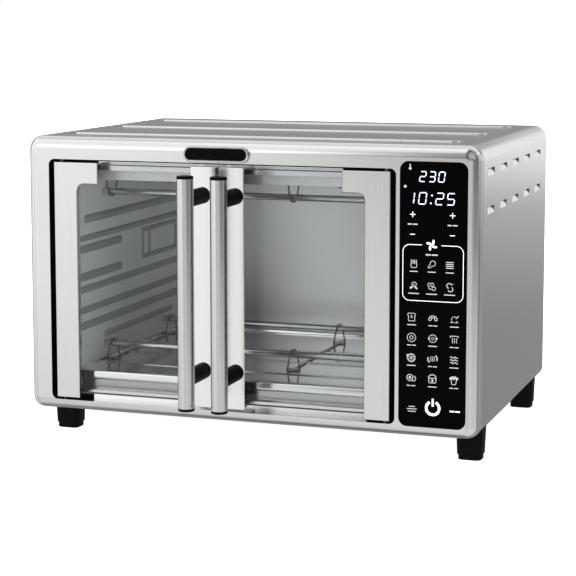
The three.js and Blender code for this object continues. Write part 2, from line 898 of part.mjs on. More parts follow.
// ---------------------------------------------------------------- heating rods, their wires, sensor
function heatingRod(y, z) {
  const end = rodReach;
  const x0 = cavityLeft;
  const x1 = cavityRight;
  const profile = [
    [0, x0 - end],
    [1.5, x0 - end],
    [1.5, x0 - end + 8],
    [rodRadius + 1.5, x0 - end + 8],
    [rodRadius + 1.5, x0 - liner - jointGap],
    [rodRadius, x0 - liner - jointGap],
    [rodRadius, x1 + liner + jointGap],
    [rodRadius + 1.5, x1 + liner + jointGap],
    [rodRadius + 1.5, x1 + end - 8],
    [1.5, x1 + end - 8],
    [1.5, x1 + end],
    [0, x1 + end],
  ];
  return turnedX(profile, y, z, 12);
}
add("upper_rod_front", heatingRod(rodSetbacks[0], upperRodZ), materials.heater);
add("upper_rod_rear", heatingRod(rodSetbacks[1], upperRodZ), materials.heater);
add("lower_rod_front", heatingRod(rodSetbacks[0], lowerRodZ), materials.heater);
add("lower_rod_rear", heatingRod(rodSetbacks[1], lowerRodZ), materials.heater);

// A strip with one wire loop round each rod: up is 1 where it stands on the tray, -1 under the ceiling.
function rodCarrier(x, up) {
  const seat = up > 0 ? cavityFloor + liner + 2 * jointGap : cavityCeiling;
  const rodZ = up > 0 ? lowerRodZ : upperRodZ;
  const y0 = rodSetbacks[0] - 12;
  const y1 = rodSetbacks[1] + 12;
  let carrier = box(x - hangerStrip / 2, x + hangerStrip / 2, y0, y1, seat, seat + up * liner);
  const reach = rodRadius + wireDiameter / 2 + 2 * jointGap;
  for (const y of rodSetbacks) {
    const points = [
      [x - hangerSpread, y - reach, seat + up * 0.5],
      [x - hangerSpread / 2, y - reach, rodZ - up * 3],
      [x - 1, y - reach * 0.77, rodZ + up * reach * 0.77],
      [x, y, rodZ + up * reach],
      [x + 1, y + reach * 0.77, rodZ + up * reach * 0.77],
      [x + hangerSpread / 2, y + reach, rodZ - up * 3],
      [x + hangerSpread, y + reach, seat + up * 0.5],
    ];
    const foot = box(x - hangerSpread - 1, x + hangerSpread + 1, y - reach - 1, y + reach + 1, seat, seat + up * liner);
    carrier = join(carrier, wire(points, wireDiameter, 14), foot);
  }
  return carrier;
}
const carrierXs = { left: cavityLeft + leftHangerInset, right: cavityLeft + rightHangerInset };
for (const [side, x] of Object.entries(carrierXs)) {
  add("upper_hanger_" + side, rodCarrier(x, -1), materials.heater);
  add("lower_stand_" + side, rodCarrier(x, 1), materials.heater);
}

const sensorProfile = [
  [0, cavityRight - sensorReach],
  [1.4, cavityRight - sensorReach + 1],
  [2, cavityRight - sensorReach + 3],
  [2, cavityRight + liner + jointGap],
  [6, cavityRight + liner + jointGap],
  [6, cavityRight + liner + 3],
  [2, cavityRight + liner + 3],
  [2, cavityRight + liner + sensorTail],
  [0, cavityRight + liner + sensorTail],
];
add("temperature_sensor", turnedX(sensorProfile, sensorY, sensorZ, 16), materials.chrome);

// ---------------------------------------------------------------- convection fan
const shaftBore = shaftDiameter / 2 + shaftClearance;

function fanCup() {
  const radius = fanCupDiameter / 2;
  const profile = [
    [shaftBore + 1, fanCupBack],
    [shaftBore + 1, fanCupBack - liner],
    [radius - liner - 4, fanCupBack - liner],
    [radius - liner, fanCupBack - liner - 4],
    [radius - liner, fanCupX],
    [radius + fanCupFlange, fanCupX],
    [radius + fanCupFlange, fanCupX + liner],
    [radius, fanCupX + liner],
    [radius, fanCupBack - 4],
    [radius - 4, fanCupBack],
    [shaftBore + 1, fanCupBack],
  ];
  return turnedX(profile, fanY, fanZ, 20);
}
add("fan_cup", fanCup(), materials.liner);

function vaneWheel(diameter, x, depth, count, hub) {
  const radius = diameter / 2;
  const bore = shaftDiameter / 2 + jointGap;
  const disc = [
    [bore, x],
    [radius, x],
    [radius, x + liner],
    [hub, x + liner],
    [hub, x + depth],
    [bore, x + depth],
    [bore, x],
  ];
  let wheel = turnedX(disc, fanY, fanZ, 20);
  for (let i = 0; i < count; i += 1) {
    const vane = new THREE.BoxGeometry(depth - liner / 2, radius - 1 - hub * 0.8, 1.2);
    vane.translate(x + (depth + liner / 2) / 2, (radius - 1 + hub * 0.8) / 2, hub * 0.35);
    vane.rotateX((2 * Math.PI * i) / count);
    vane.translate(0, fanY, fanZ);
    wheel = wheel.add(solid(vane));
  }
  return wheel;
}
add("fan_blade", vaneWheel(fanDiameter, fanCupX + 6, vaneHeight, vaneCount, 9), materials.liner);
add("cooling_blade", vaneWheel(coolingFanDiameter, motorBack + 5, coolingVaneHeight, vaneCount, 8), materials.blackPlastic);

const shaftRadius = shaftDiameter / 2;
const shaftProfile = [
  [0, shaftStart],
  [shaftRadius - 0.6, shaftStart],
  [shaftRadius, shaftStart + 0.6],
  [shaftRadius, shaftEnd - 0.6],
  [shaftRadius - 0.6, shaftEnd],
  [0, shaftEnd],
];
add("fan_shaft", turnedX(shaftProfile, fanY, fanZ, 16), materials.dullSteel);

function fanMotor() {
  const halfWidth = motorWidth / 2;
  const z0 = fanZ - motorHeight / 2 - 6;
  const stack = box(motorFront, motorBack, fanY - halfWidth, fanY + halfWidth, z0, z0 + motorHeight);
  const coil = box(motorFront - 5, motorBack + 5, fanY - 13, fanY + 13, z0 + 4, z0 + 18);
  const bearings = turnedX(rod(10, motorFront - 6, motorBack + 3), fanY, fanZ, 20);
  const post = (y) => turnedX(rod(3, fanCupBack + jointGap, motorFront + 1), fanY + y, fanZ + 14, 12);
  const bore = turnedX(rod(shaftBore, fanCupBack - 1, motorBack + 9), fanY, fanZ, 16);
  return join(stack, coil, bearings, post(halfWidth - 5), post(5 - halfWidth)).subtract(bore);
}
add("fan_motor", fanMotor(), materials.dullSteel);

// ---------------------------------------------------------------- doors
const glassFront = stileSheet + jointGap;
const glassBottom = doorBottom + stileSheet + jointGap;
const glassTop = doorTop - stileSheet - jointGap;
const handleBottom = doorBottom + handleBottomInset;
const handleTop = doorTop - handleTopInset;
const handleRadius = handleDiameter / 2;
const drumBottom = openBottom - sheet - jointGap - drumHeight;

// side is -1 for the left door and 1 for the right; u runs from the hinged edge to the seam.
function doorFrame(side) {
  const edge = side < 0 ? openLeft + doorSideGap : openRight - doorSideGap;
  const X = (u) => edge - side * u;
  const slab = (u0, u1, y0, y1, z0, z1) =>
    box(Math.min(X(u0), X(u1)), Math.max(X(u0), X(u1)), y0, y1, z0, z1);
  return { X, slab };
}

function outerStile(side) {
  const { X, slab } = doorFrame(side);
  const armBottom = doorTop - armHeight;
  const face = new THREE.Shape();
  face.moveTo(X(0), doorBottom);
  face.lineTo(X(outerStileWidth), doorBottom);
  face.lineTo(X(outerStileWidth), armBottom - armFillet);
  face.quadraticCurveTo(X(outerStileWidth), armBottom, X(outerStileWidth + armFillet), armBottom);
  face.lineTo(X(armWidth), armBottom);
  face.lineTo(X(armWidth), doorTop);
  face.lineTo(X(0), doorTop);
  const plate = alongYEdged(face, 0, stileSheet, stileEdge);
  const wallTop = doorTop - stileEdge;
  const wallLow = doorBottom + stileEdge;
  const wall = slab(stileEdge, stileSheet + stileEdge, stileSheet / 2, stileDepth, wallLow, wallTop);
  const lip = slab(stileEdge, stileLip + stileEdge, stileDepth - stileSheet, stileDepth, wallLow, wallTop);
  const head = slab(stileEdge, armWidth - stileEdge, stileSheet / 2, stileDepth, wallTop - stileSheet, wallTop);
  const foot = slab(stileEdge, outerStileWidth - stileEdge, stileSheet / 2, stileDepth, wallLow, wallLow + stileSheet);
  const bore = turnedZ(rod(pinDiameter / 2 + jointGap, doorBottom - 1, doorTop + 1), hingeX(side), hingeBack);
  return join(plate, wall, lip, head, foot).subtract(bore);
}

function innerStile(side) {
  const { X, slab } = doorFrame(side);
  const x = [X(doorWidth), X(doorWidth - innerStileWidth)].sort((a, b) => a - b);
  const plate = alongYEdged(roundedRect(x[0], doorBottom, x[1], doorTop, 2), 0, stileSheet, stileEdge, 1, 3);
  const u0 = doorWidth - stileEdge;
  const wallTop = doorTop - 2 * stileEdge;
  const wallLow = doorBottom + 2 * stileEdge;
  const wall = slab(u0 - stileSheet, u0, stileSheet / 2, stileDepth, wallLow, wallTop);
  const lip = slab(u0 - stileLip, u0, stileDepth - stileSheet, stileDepth, wallLow, wallTop);
  const head = slab(u0 - innerStileWidth + 2, u0, stileSheet / 2, stileDepth, wallTop - stileSheet, wallTop);
  const foot = slab(u0 - innerStileWidth + 2, u0, stileSheet / 2, stileDepth, wallLow, wallLow + stileSheet);
  return join(plate, wall, lip, head, foot);
}

function doorGlass(side) {
  const { X } = doorFrame(side);
  const x = [X(glassSeat), X(doorWidth - innerStileWidth + glassSeat)].sort((a, b) => a - b);
  const low = glassBottom + 2 * stileEdge;
  const high = glassTop - 2 * stileEdge;
  return alongYEdged(roundedRect(x[0], low, x[1], high, 2), glassFront, glassFront + glassThickness, 0.4, 1, 3);
}

function topPin(side) {
  const flange = doorTop - stileEdge;
  const radius = pinDiameter / 2;
  const head = pinHeadDiameter / 2;
  const under = flange - stileSheet - jointGap;
  const profile = [
    [0, under - pinHeadHeight],
    [head, under - pinHeadHeight],
    [head, under],
    [radius, under],
    [radius, flange + jointGap],
    [head - 0.5, flange + jointGap],
    [head - 0.5, openTop - jointGap],
    [radius, openTop - jointGap],
    [radius, openTop + pinReach],
    [0, openTop + pinReach],
  ];
  return turnedZ(profile, hingeX(side), hingeBack, 12);
}

// The lower pin carries the door's weight on its collar and ends in a grooved cable drum.
function bottomPin(side) {
  const flange = doorBottom + stileEdge;
  const radius = pinDiameter / 2;
  const head = pinHeadDiameter / 2;
  const drum = drumDiameter / 2;
  const over = flange + stileSheet + jointGap;
  const grooveLow = drumBottom + (drumHeight - cableDiameter) / 2 - jointGap;
  const grooveHigh = drumBottom + (drumHeight + cableDiameter) / 2 + jointGap;
  const profile = [
    [0, drumBottom],
    [drum, drumBottom],
    [drum, grooveLow],
    [drum - drumGroove, grooveLow],
    [drum - drumGroove, grooveHigh],
    [drum, grooveHigh],
    [drum, drumBottom + drumHeight],
    [radius, drumBottom + drumHeight],
    [radius, openBottom + jointGap],
    [head - 0.5, openBottom + jointGap],
    [head - 0.5, flange - jointGap],
    [radius, flange - jointGap],
    [radius, over],
    [head, over],
    [head, over + pinHeadHeight],
    [0, over + pinHeadHeight],
  ];
  return turnedZ(profile, hingeX(side), hingeBack, 12);
}

function handleX(side) {
  return side < 0 ? seamX - leftHandleFromSeam : seamX + rightHandleFromSeam;
}

function handleTube(side) {
  const low = handleBottom + capThickness;
  const high = handleTop - capThickness;
  const bore = handleRadius - handleWall;
  const profile = [
    [bore, low],
    [handleRadius, low],
    [handleRadius, high],
    [bore, high],
    [bore, low],
  ];
  return turnedZ(profile, handleX(side), -handleStandOff, 20);
}

// up is 1 for the cap on the tube's top end and -1 for the one below.
function handleCap(side, up) {
  const tubeEnd = up > 0 ? handleTop - capThickness : handleBottom + capThickness;
  const plug = handleRadius - handleWall - jointGap;
  const points = [
    [0, -capPlug],
    [plug, -capPlug],
    [plug, 0],
    [handleRadius, 0],
    [handleRadius, capThickness - 0.6],
    [handleRadius - 0.6, capThickness],
    [0, capThickness],
  ];
  const profile = points.map(([radius, height]) => [radius, tubeEnd + up * height]);
  if (up < 0) profile.reverse();
  return turnedZ(profile, handleX(side), -handleStandOff, 20);
}

function standoff(side, z) {
  const length = handleStandOff;
  const geometry = turned(rod(standoffDiameter / 2, -length, 0), 20);
  geometry.translate(handleX(side), 0, z);
  const saddle = turnedZ(rod(handleRadius + jointGap, z - length, z + length), handleX(side), -length, 20);
  const clear = box(
    handleX(side) - length,
    handleX(side) + length,
    -2 * length,
    -length,
    z - length,
    z + length,
  );
  return cut(solid(geometry), saddle, clear);
}

for (const [side, name] of [[-1, "left"], [1, "right"]]) {
  add(name + "_outer_stile", outerStile(side), materials.steel);
  add(name + "_inner_stile", innerStile(side), materials.steel);
  add(name + "_door_glass", doorGlass(side), materials.glass);
  add(name + "_top_pin", topPin(side), materials.chrome);
  add(name + "_bottom_pin", bottomPin(side), materials.chrome);
  add(name + "_handle_tube", handleTube(side), materials.steel);
  add(name + "_handle_cap_top", handleCap(side, 1), materials.blackPlastic);
  add(name + "_handle_cap_bottom", handleCap(side, -1), materials.blackPlastic);
  add(name + "_standoff_upper", standoff(side, doorTop - upperStandoffDrop), materials.blackPlastic);
  add(name + "_standoff_lower", standoff(side, doorBottom + lowerStandoffRise), materials.blackPlastic);
}

// ---------------------------------------------------------------- door cable
// A crossed steel cable round the two drums: opening one door opens the other by as much.
function doorCable() {
  const radius = drumDiameter / 2 - drumGroove + jointGap + cableDiameter / 2;
  const z = drumBottom + drumHeight / 2;
  const lap = 0.5;
  const bend = (side) => {
    const points = [];
    for (let i = 0; i <= 8; i += 1) {
      const angle = Math.PI * (i / 8 - 0.5);
      points.push([hingeX(side) + side * radius * Math.cos(angle), hingeBack + radius * Math.sin(angle), z]);
    }
    return wire(points, cableDiameter, 8);
  };
  const strand = (up) => {
    const middle = [seamX, hingeBack, z + up * cableDiameter];
    const leftEnd = [hingeX(-1) - lap, hingeBack + up * radius, z];
    const rightEnd = [hingeX(1) + lap, hingeBack - up * radius, z];
    return join(straight(leftEnd, middle), straight(middle, rightEnd));
  };
  const turnbuckle = turnedX(rod(cableDiameter, seamX - 7, seamX + 7), hingeBack, z - 1.6 * cableDiameter, 8);
  return join(strand(1), strand(-1), bend(-1), bend(1), turnbuckle);
}

function straight(from, to) {
  const path = new THREE.LineCurve3(new THREE.Vector3(...from), new THREE.Vector3(...to));
  const section = new THREE.Shape();
  section.absarc(0, 0, cableDiameter / 2, 0, 2 * Math.PI);
  const settings = { steps: 1, extrudePath: path, bevelEnabled: false, curveSegments: 3 };
  return solid(new THREE.ExtrudeGeometry(section, settings));
}
add("door_cable", doorCable(), materials.dullSteel);

// ---------------------------------------------------------------- door catch
const catchHalf = 18;
const catchBlock = box(
  seamX - catchHalf,
  seamX + catchHalf,
  ringFront + sheet,
  cavityFront - 1,
  ringTop + sheet + jointGap,
  ringTop + sheet + 9,
);
add("door_catch", catchBlock, materials.blackPlastic);

export default oven;
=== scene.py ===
import json
import math

import bmesh
import bpy
from mathutils import Matrix, Vector


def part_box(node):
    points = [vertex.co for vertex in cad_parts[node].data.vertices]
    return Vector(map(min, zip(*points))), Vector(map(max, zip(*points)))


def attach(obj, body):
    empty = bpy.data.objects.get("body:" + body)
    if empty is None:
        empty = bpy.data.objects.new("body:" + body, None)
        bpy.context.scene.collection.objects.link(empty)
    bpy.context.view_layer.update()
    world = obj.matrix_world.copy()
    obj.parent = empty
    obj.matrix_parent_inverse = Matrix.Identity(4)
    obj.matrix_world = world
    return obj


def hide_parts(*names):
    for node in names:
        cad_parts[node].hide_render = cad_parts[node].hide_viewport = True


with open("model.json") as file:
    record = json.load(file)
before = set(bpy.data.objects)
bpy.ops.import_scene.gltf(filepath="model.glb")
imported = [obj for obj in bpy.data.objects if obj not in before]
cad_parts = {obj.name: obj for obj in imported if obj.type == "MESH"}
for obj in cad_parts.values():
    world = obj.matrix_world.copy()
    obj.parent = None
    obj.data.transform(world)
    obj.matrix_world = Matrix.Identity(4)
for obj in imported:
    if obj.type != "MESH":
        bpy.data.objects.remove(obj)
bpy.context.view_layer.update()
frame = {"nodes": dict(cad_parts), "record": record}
MATERIALS = {}

bl_info = {
    "name": "Two-Door Toaster Oven",
    "version": (1, 0, 0),
    "blender": (4, 5, 0),
    "location": "View3D > Sidebar > Oven",
    "description": "Finishes the pieces of a counter-top toaster oven and sets up a plain studio",
    "category": "Object",
}


# ------------------------------------------------------------------ small tools
def linear(code):
    """An sRGB hex colour such as "c8c8c6" as linear red, green, blue."""
    values = [int(code[i:i + 2], 16) / 255 for i in (0, 2, 4)]
    return [v / 12.92 if v <= 0.04045 else ((v + 0.055) / 1.055) ** 2.4 for v in values]


def corners(node):
    """Lowest and highest corner of a frame node, as vectors in metres."""
    low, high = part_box(node)
    return Vector(low), Vector(high)


def grown(low, high, x=0.0, y=0.0, z=0.0):
    """Two corners moved apart by so much on each side."""
    by = Vector((x, y, z))
    return low - by, high + by


# ------------------------------------------------------------------ shaping with bmesh
CLEAR = 0.01  # how far a cutting body reaches past what it cuts, in metres
FIT = 0.0003  # gap left round a piece that is set into a hole
FULL_ROUND = 0.499  # share of a height that rounds an end fully and leaves no doubled edge


def block(bm, low, high):
    """A box between two corners; gives back its vertices."""
    low, high = Vector(low), Vector(high)
    verts = bmesh.ops.create_cube(bm, size=1.0)["verts"]
    bmesh.ops.scale(bm, vec=high - low, verts=verts)
    bmesh.ops.translate(bm, vec=(low + high) / 2, verts=verts)
    return verts


def edges_of(verts):
    """Every edge that ends at one of the vertices."""
    return list({edge for vert in verts for edge in vert.link_edges})


def running(edges, axis):
    """The edges that run along one axis, 0 to 2."""
    found = []
    for edge in edges:
        way = (edge.verts[1].co - edge.verts[0].co).normalized()
        if abs(way[axis]) > 0.999:
            found.append(edge)
    return found


def round_over(bm, edges, width, segments):
    """Rounds edges with a bevel."""
    bmesh.ops.bevel(
        bm, geom=edges, offset=width, offset_type="OFFSET", segments=segments,
        profile=0.5, affect="EDGES", clamp_overlap=False, material=-1,
    )


def edge_loop_at(bm, axis, value, tolerance=1e-6):
    """The border edges of the flat end of a body at one height of an axis."""
    found = []
    for edge in bm.edges:
        if all(abs(v.co[axis] - value) < tolerance for v in edge.verts):
            if any(abs(v.co[axis] - value) > tolerance for f in edge.link_faces for v in f.verts):
                found.append(edge)
    return found


def rounded_block(bm, low, high, axis, radius, segments=10, high_radius=None):
    """A box whose four edges along one axis are rounded; high_radius is for the upper two."""
    verts = block(bm, low, high)
    edges = running(edges_of(verts), axis)
    upper = 2 if axis != 2 else 1
    middle = (Vector(low)[upper] + Vector(high)[upper]) / 2
    tops = [e for e in edges if e.verts[0].co[upper] > middle]
    lows = [e for e in edges if e.verts[0].co[upper] <= middle]
    round_over(bm, tops, high_radius or radius, segments)
    round_over(bm, lows, radius, segments)


def turn(bm, profile, centre, axis, steps=48):
    """Spins a [radius, height] profile a full turn about an axis through centre."""
    axis = Vector(axis)
    side = Vector((0, 0, 1)) if abs(axis.z) < 0.5 else Vector((1, 0, 0))
    verts = [bm.verts.new(Vector(centre) + side * r + axis * h) for r, h in profile]
    edges = [bm.edges.new(pair) for pair in zip(verts, verts[1:])]
    bmesh.ops.spin(
        bm, geom=verts + edges, cent=centre, axis=axis, dvec=(0, 0, 0),
        angle=2 * math.pi, steps=steps, use_merge=True, use_duplicate=False,
    )


def closed(bm):
    """Merges doubles and turns every face outwards."""
    bmesh.ops.remove_doubles(bm, verts=bm.verts, dist=1e-6)
    bmesh.ops.dissolve_degenerate(bm, edges=bm.edges, dist=1e-7)
    bmesh.ops.recalc_face_normals(bm, faces=bm.faces)


def linked(bm, name):
    """Turns a bmesh into an object of the scene and frees the bmesh."""
    mesh = bpy.data.meshes.new(name)
    bm.to_mesh(mesh)
    bm.free()
    thing = bpy.data.objects.new(name, mesh)
    bpy.context.scene.collection.objects.link(thing)
    return thing


def raw(bm, name):
    """A bare closed object from a bmesh, to be cut, cut with or finished."""
    closed(bm)
    return linked(bm, name)


def carve(thing, tool, how="DIFFERENCE"):
    """Cuts or joins one object with another, which is used up."""
    step = thing.modifiers.new("Carve", "BOOLEAN")
    step.operation = how
    step.solver = "EXACT"
    step.object = tool
    graph = bpy.context.evaluated_depsgraph_get()
    shaped = bpy.data.meshes.new_from_object(thing.evaluated_get(graph))
    if not shaped.polygons:
        raise RuntimeError("nothing is left of " + thing.name + " after " + tool.name)
    thing.modifiers.remove(step)
    spent = [thing.data, tool.data]
    thing.data = shaped
    bpy.data.objects.remove(tool)
    for mesh in spent:
        bpy.data.meshes.remove(mesh)


def cut_rounded(thing, low, high, radius, segments):
    """Cuts a hole with rounded corners, front to back, between two corners."""
    hole = bmesh.new()
    rounded_block(hole, low, high, 1, radius, segments)
    carve(thing, raw(hole, "hole"))


def finish(thing, body, look, slot, replaces=(), edge=0.0, segments=3, smooth=30.0):
    """Gives one piece its material, shading, softened edges, body and the nodes it replaces; its slot
    is not used.
    """
    mesh = thing.data
    mesh.materials.clear()
    mesh.materials.append(MATERIALS[look])
    mesh.shade_smooth()
    mesh.set_sharp_from_angle(angle=math.radians(smooth))
    if edge:
        bevel = thing.modifiers.new("Soft edges", "BEVEL")
        bevel.width = edge
        bevel.segments = segments
        bevel.limit_method = "ANGLE"
        bevel.angle_limit = math.radians(smooth)
        bevel.harden_normals = False
        bevel.use_clamp_overlap = True
    weighted = thing.modifiers.new("Flat faces", "WEIGHTED_NORMAL")
    weighted.keep_sharp = True
    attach(thing, body)
    if replaces:
        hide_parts(*replaces)
    return thing


def piece(bm, name, body, look, slot, replaces=(), **softening):
    """A finished piece straight from a bmesh."""
    return finish(raw(bm, name), body, look, slot, replaces, **softening)


def from_frame(node, look, edge=0.0003, smooth=32.0, segments=2):
    """A merged copy of a frame node with softened edges, standing for it."""
    bm = bmesh.new()
    bm.from_mesh(frame["nodes"][node].data)
    bmesh.ops.remove_doubles(bm, verts=bm.verts, dist=2e-6)
    bmesh.ops.dissolve_limit(
        bm, angle_limit=math.radians(0.5), verts=bm.verts, edges=bm.edges,
        use_dissolve_boundaries=False,
    )
    thing = linked(bm, node + "_skin")
    return finish(
        thing, BODY_OF[node], look, SLOTS[node], (node,), edge=edge, smooth=smooth, segments=segments,
    )


BODY_OF = {
    node: body
    for body, nodes in frame["record"]["behaviour"]["bodies"].items()
    for node in nodes
}
SLOTS = {part["node"]: part["material_slot"] for part in frame["record"]["subparts"]}


# ------------------------------------------------------------------ materials
NOISE_MIDDLE = {"From Min": 0.3, "From Max": 0.7}  # most of a noise's values lie between these
DRIFT = 0.02  # how far a slow change moves the roughness either way


def add_node(tree, kind, inputs=(), links=(), **settings):
    """Adds one shader node, sets its properties and sockets, and links what feeds it."""
    made = tree.nodes.new(kind)
    for key, value in settings.items():
        setattr(made, key, value)
    for key, value in dict(inputs).items():
        made.inputs[key].default_value = value
    for key, source in dict(links).items():
        tree.links.new(source, made.inputs[key])
    return made


def new_material(name, colour, **sockets):
    """A material with one Principled shader whose plain values sit on its own sockets."""
    material = bpy.data.materials.new(name)
    material.use_nodes = True
    tree = material.node_tree
    shader = tree.nodes["Principled BSDF"]
    shader.inputs["Base Color"].default_value = (*colour, 1)
    for key, value in sockets.items():
        shader.inputs[key.replace("_", " ")].default_value = value
    return material, tree, shader


def worked_surface(
    name, colour, deep, rough, grain_mm, detail=2.0, blend=0.5,
    drift_mm=None, relief=0.0, depth=0.0, relief_mm=None, **sockets,
):
    """A material marked by how its surface was made.

    One noise, grain_mm large along X, Y and Z of the piece, leads the colour from deep times
    itself up to itself and the roughness between its two values. drift_mm adds a slow change of
    roughness. relief is the strength and depth the height in metres of the marks, which follow
    the grain unless relief_mm gives them a size of their own."""
    material, tree, shader = new_material(name, colour, **sockets)
    where = add_node(tree, "ShaderNodeTexCoord")
    fields = {}
    for use, size, fineness, fade in (
        ("grain", grain_mm, detail, blend),
        ("drift", drift_mm, 1.0, 0.5),
        ("relief", relief_mm, 2.0, 0.5),
    ):
        if size:
            placed = add_node(
                tree, "ShaderNodeMapping", inputs={"Scale": [1000 / mm for mm in size]},
                links={"Vector": where.outputs["Object"]},
            )
            noise = add_node(
                tree, "ShaderNodeTexNoise",
                inputs={"Scale": 1.0, "Detail": fineness, "Roughness": fade},
                links={"Vector": placed.outputs["Vector"]},
            )
            fields[use] = noise.outputs["Fac"]
    if deep < 1.0:
        share = add_node(
            tree, "ShaderNodeMapRange", inputs=NOISE_MIDDLE, links={"Value": fields["grain"]},
        )
        tone = add_node(
            tree, "ShaderNodeMix", data_type="RGBA",
            inputs={"A": (*(value * deep for value in colour), 1), "B": (*colour, 1)},
            links={"Factor": share.outputs["Result"]},
        )
        tree.links.new(tone.outputs["Result"], shader.inputs["Base Color"])
    dull = add_node(
        tree, "ShaderNodeMapRange", inputs={**NOISE_MIDDLE, "To Min": rough[0], "To Max": rough[1]},
        links={"Value": fields["grain"]},
    )
    haze = dull.outputs["Result"]
    if drift_mm:
        slow = add_node(
            tree, "ShaderNodeMapRange", inputs={**NOISE_MIDDLE, "To Min": -DRIFT, "To Max": DRIFT},
            links={"Value": fields["drift"]},
        )
        both = add_node(
            tree, "ShaderNodeMath", operation="ADD", links={0: haze, 1: slow.outputs["Result"]},
        )
        haze = both.outputs["Value"]
    tree.links.new(haze, shader.inputs["Roughness"])
    if relief:
        bump = add_node(
            tree, "ShaderNodeBump", inputs={"Strength": relief, "Distance": depth},
            links={"Height": fields.get("relief", fields["grain"])},
        )
        tree.links.new(bump.outputs["Normal"], shader.inputs["Normal"])
    return material


def brushed_steel(name, colour, deep, along, rough, line_mm=0.7, run_mm=70.0, relief=0.03):
    """Stainless steel ground by a belt along one axis, 0 to 2: fine streaks, soft highlights.
    The belt leaves scratches 0.1 mm apart; they are drawn about 0.7 mm apart, so that they
    still show."""
    size, slow = [line_mm] * 3, [60.0] * 3
    size[along], slow[along] = run_mm, 400.0
    uneven = 0.015
    return worked_surface(
        name, colour, deep, (rough - uneven, rough + uneven), size, detail=3.0, blend=0.6,
        drift_mm=slow, relief=relief, depth=0.00004, Metallic=1.0,
    )


def sheet_metal(name, colour, deep, rough, size_mm=9.0, relief=0.0, metal=1.0):
    """Cold-rolled cavity or back sheet: dull, faintly cloudy from rolling, no brush lines. Its
    aluminised coat scatters part of the light, which metal below 1 stands for."""
    wide = 30.0
    return worked_surface(
        name, colour, deep, (rough - DRIFT, rough + DRIFT), [size_mm] * 3,
        detail=4.0 if size_mm < wide else 1.0, relief=relief, depth=0.00005,
        relief_mm=[1.2] * 3 if relief else None, Metallic=metal,
    )


def moulded(name, colour, deep, rough, relief=0.12):
    """Nylon, ABS and the sheets of painted shade, with a fine grain 0.9 mm across: soft sheen, no
    clear reflection.
    """
    return worked_surface(
        name, colour, deep, (rough - 0.05, rough + 0.07), [0.9] * 3, relief=relief, depth=0.00008,
        IOR=1.5, Specular_IOR_Level=0.05,
    )


def chromed(name, colour, deep, rough):
    """Plated or drawn metal: near mirror, with a haze 5 mm across."""
    return worked_surface(
        name, colour, deep, (rough - 0.03, rough + 0.05), [5.0] * 3, detail=3.0, Metallic=1.0,
    )


def printed(name, colour, glow):
    """Ink or lit film behind the glass: even, faintly glowing, mottled only in its sheen. The film's
    glow is its backlight; the glow of ink is painted light.
    """
    return worked_surface(
        name, colour, 1.0, (0.38, 0.42), [0.8] * 3, detail=1.0, IOR=1.5,
        Emission_Color=(*colour, 1), Emission_Strength=glow,
    )


def door_glass(tint, mirror):
    """Clear tempered soda-lime pane: light goes straight through, reflections grow at low angles."""
    material = bpy.data.materials.new("tempered_door_glass")
    material.use_nodes = True
    tree = material.node_tree
    tree.nodes.remove(tree.nodes["Principled BSDF"])
    where = add_node(tree, "ShaderNodeTexCoord")
    placed = add_node(
        tree, "ShaderNodeMapping", inputs={"Scale": [1000 / mm for mm in (30.0, 30.0, 90.0)]},
        links={"Vector": where.outputs["Object"]},
    )
    smear = add_node(
        tree, "ShaderNodeTexNoise", inputs={"Scale": 1.0, "Detail": 2.0, "Roughness": 0.5},
        links={"Vector": placed.outputs["Vector"]},
    )
    haze = add_node(
        tree, "ShaderNodeMapRange", inputs={**NOISE_MIDDLE, "To Min": 0.0, "To Max": 0.03},
        links={"Value": smear.outputs["Fac"]},
    )
    clear = add_node(tree, "ShaderNodeBsdfTransparent", inputs={"Color": (*tint, 1)})
    gloss = add_node(
        tree, "ShaderNodeBsdfAnisotropic", inputs={"Color": (*mirror, 1)},
        links={"Roughness": haze.outputs["Result"]},
    )
    # Share of light mirrored: 4 % straight on, growing with the fifth power towards the edge.
    tilt = add_node(tree, "ShaderNodeLayerWeight", inputs={"Blend": 0.5})
    steep = add_node(
        tree, "ShaderNodeMath", operation="POWER", inputs={1: 5.0}, links={0: tilt.outputs["Facing"]},
    )
    mirrored = add_node(
        tree, "ShaderNodeMath", operation="MULTIPLY_ADD", inputs={1: 0.96, 2: 0.04},
        links={0: steep.outputs["Value"]},
    )
    mix = add_node(
        tree, "ShaderNodeMixShader",
        links={0: mirrored.outputs["Value"], 1: clear.outputs["BSDF"], 2: gloss.outputs["BSDF"]},
    )
    tree.links.new(mix.outputs["Shader"], tree.nodes["Material Output"].inputs["Surface"])
    return material


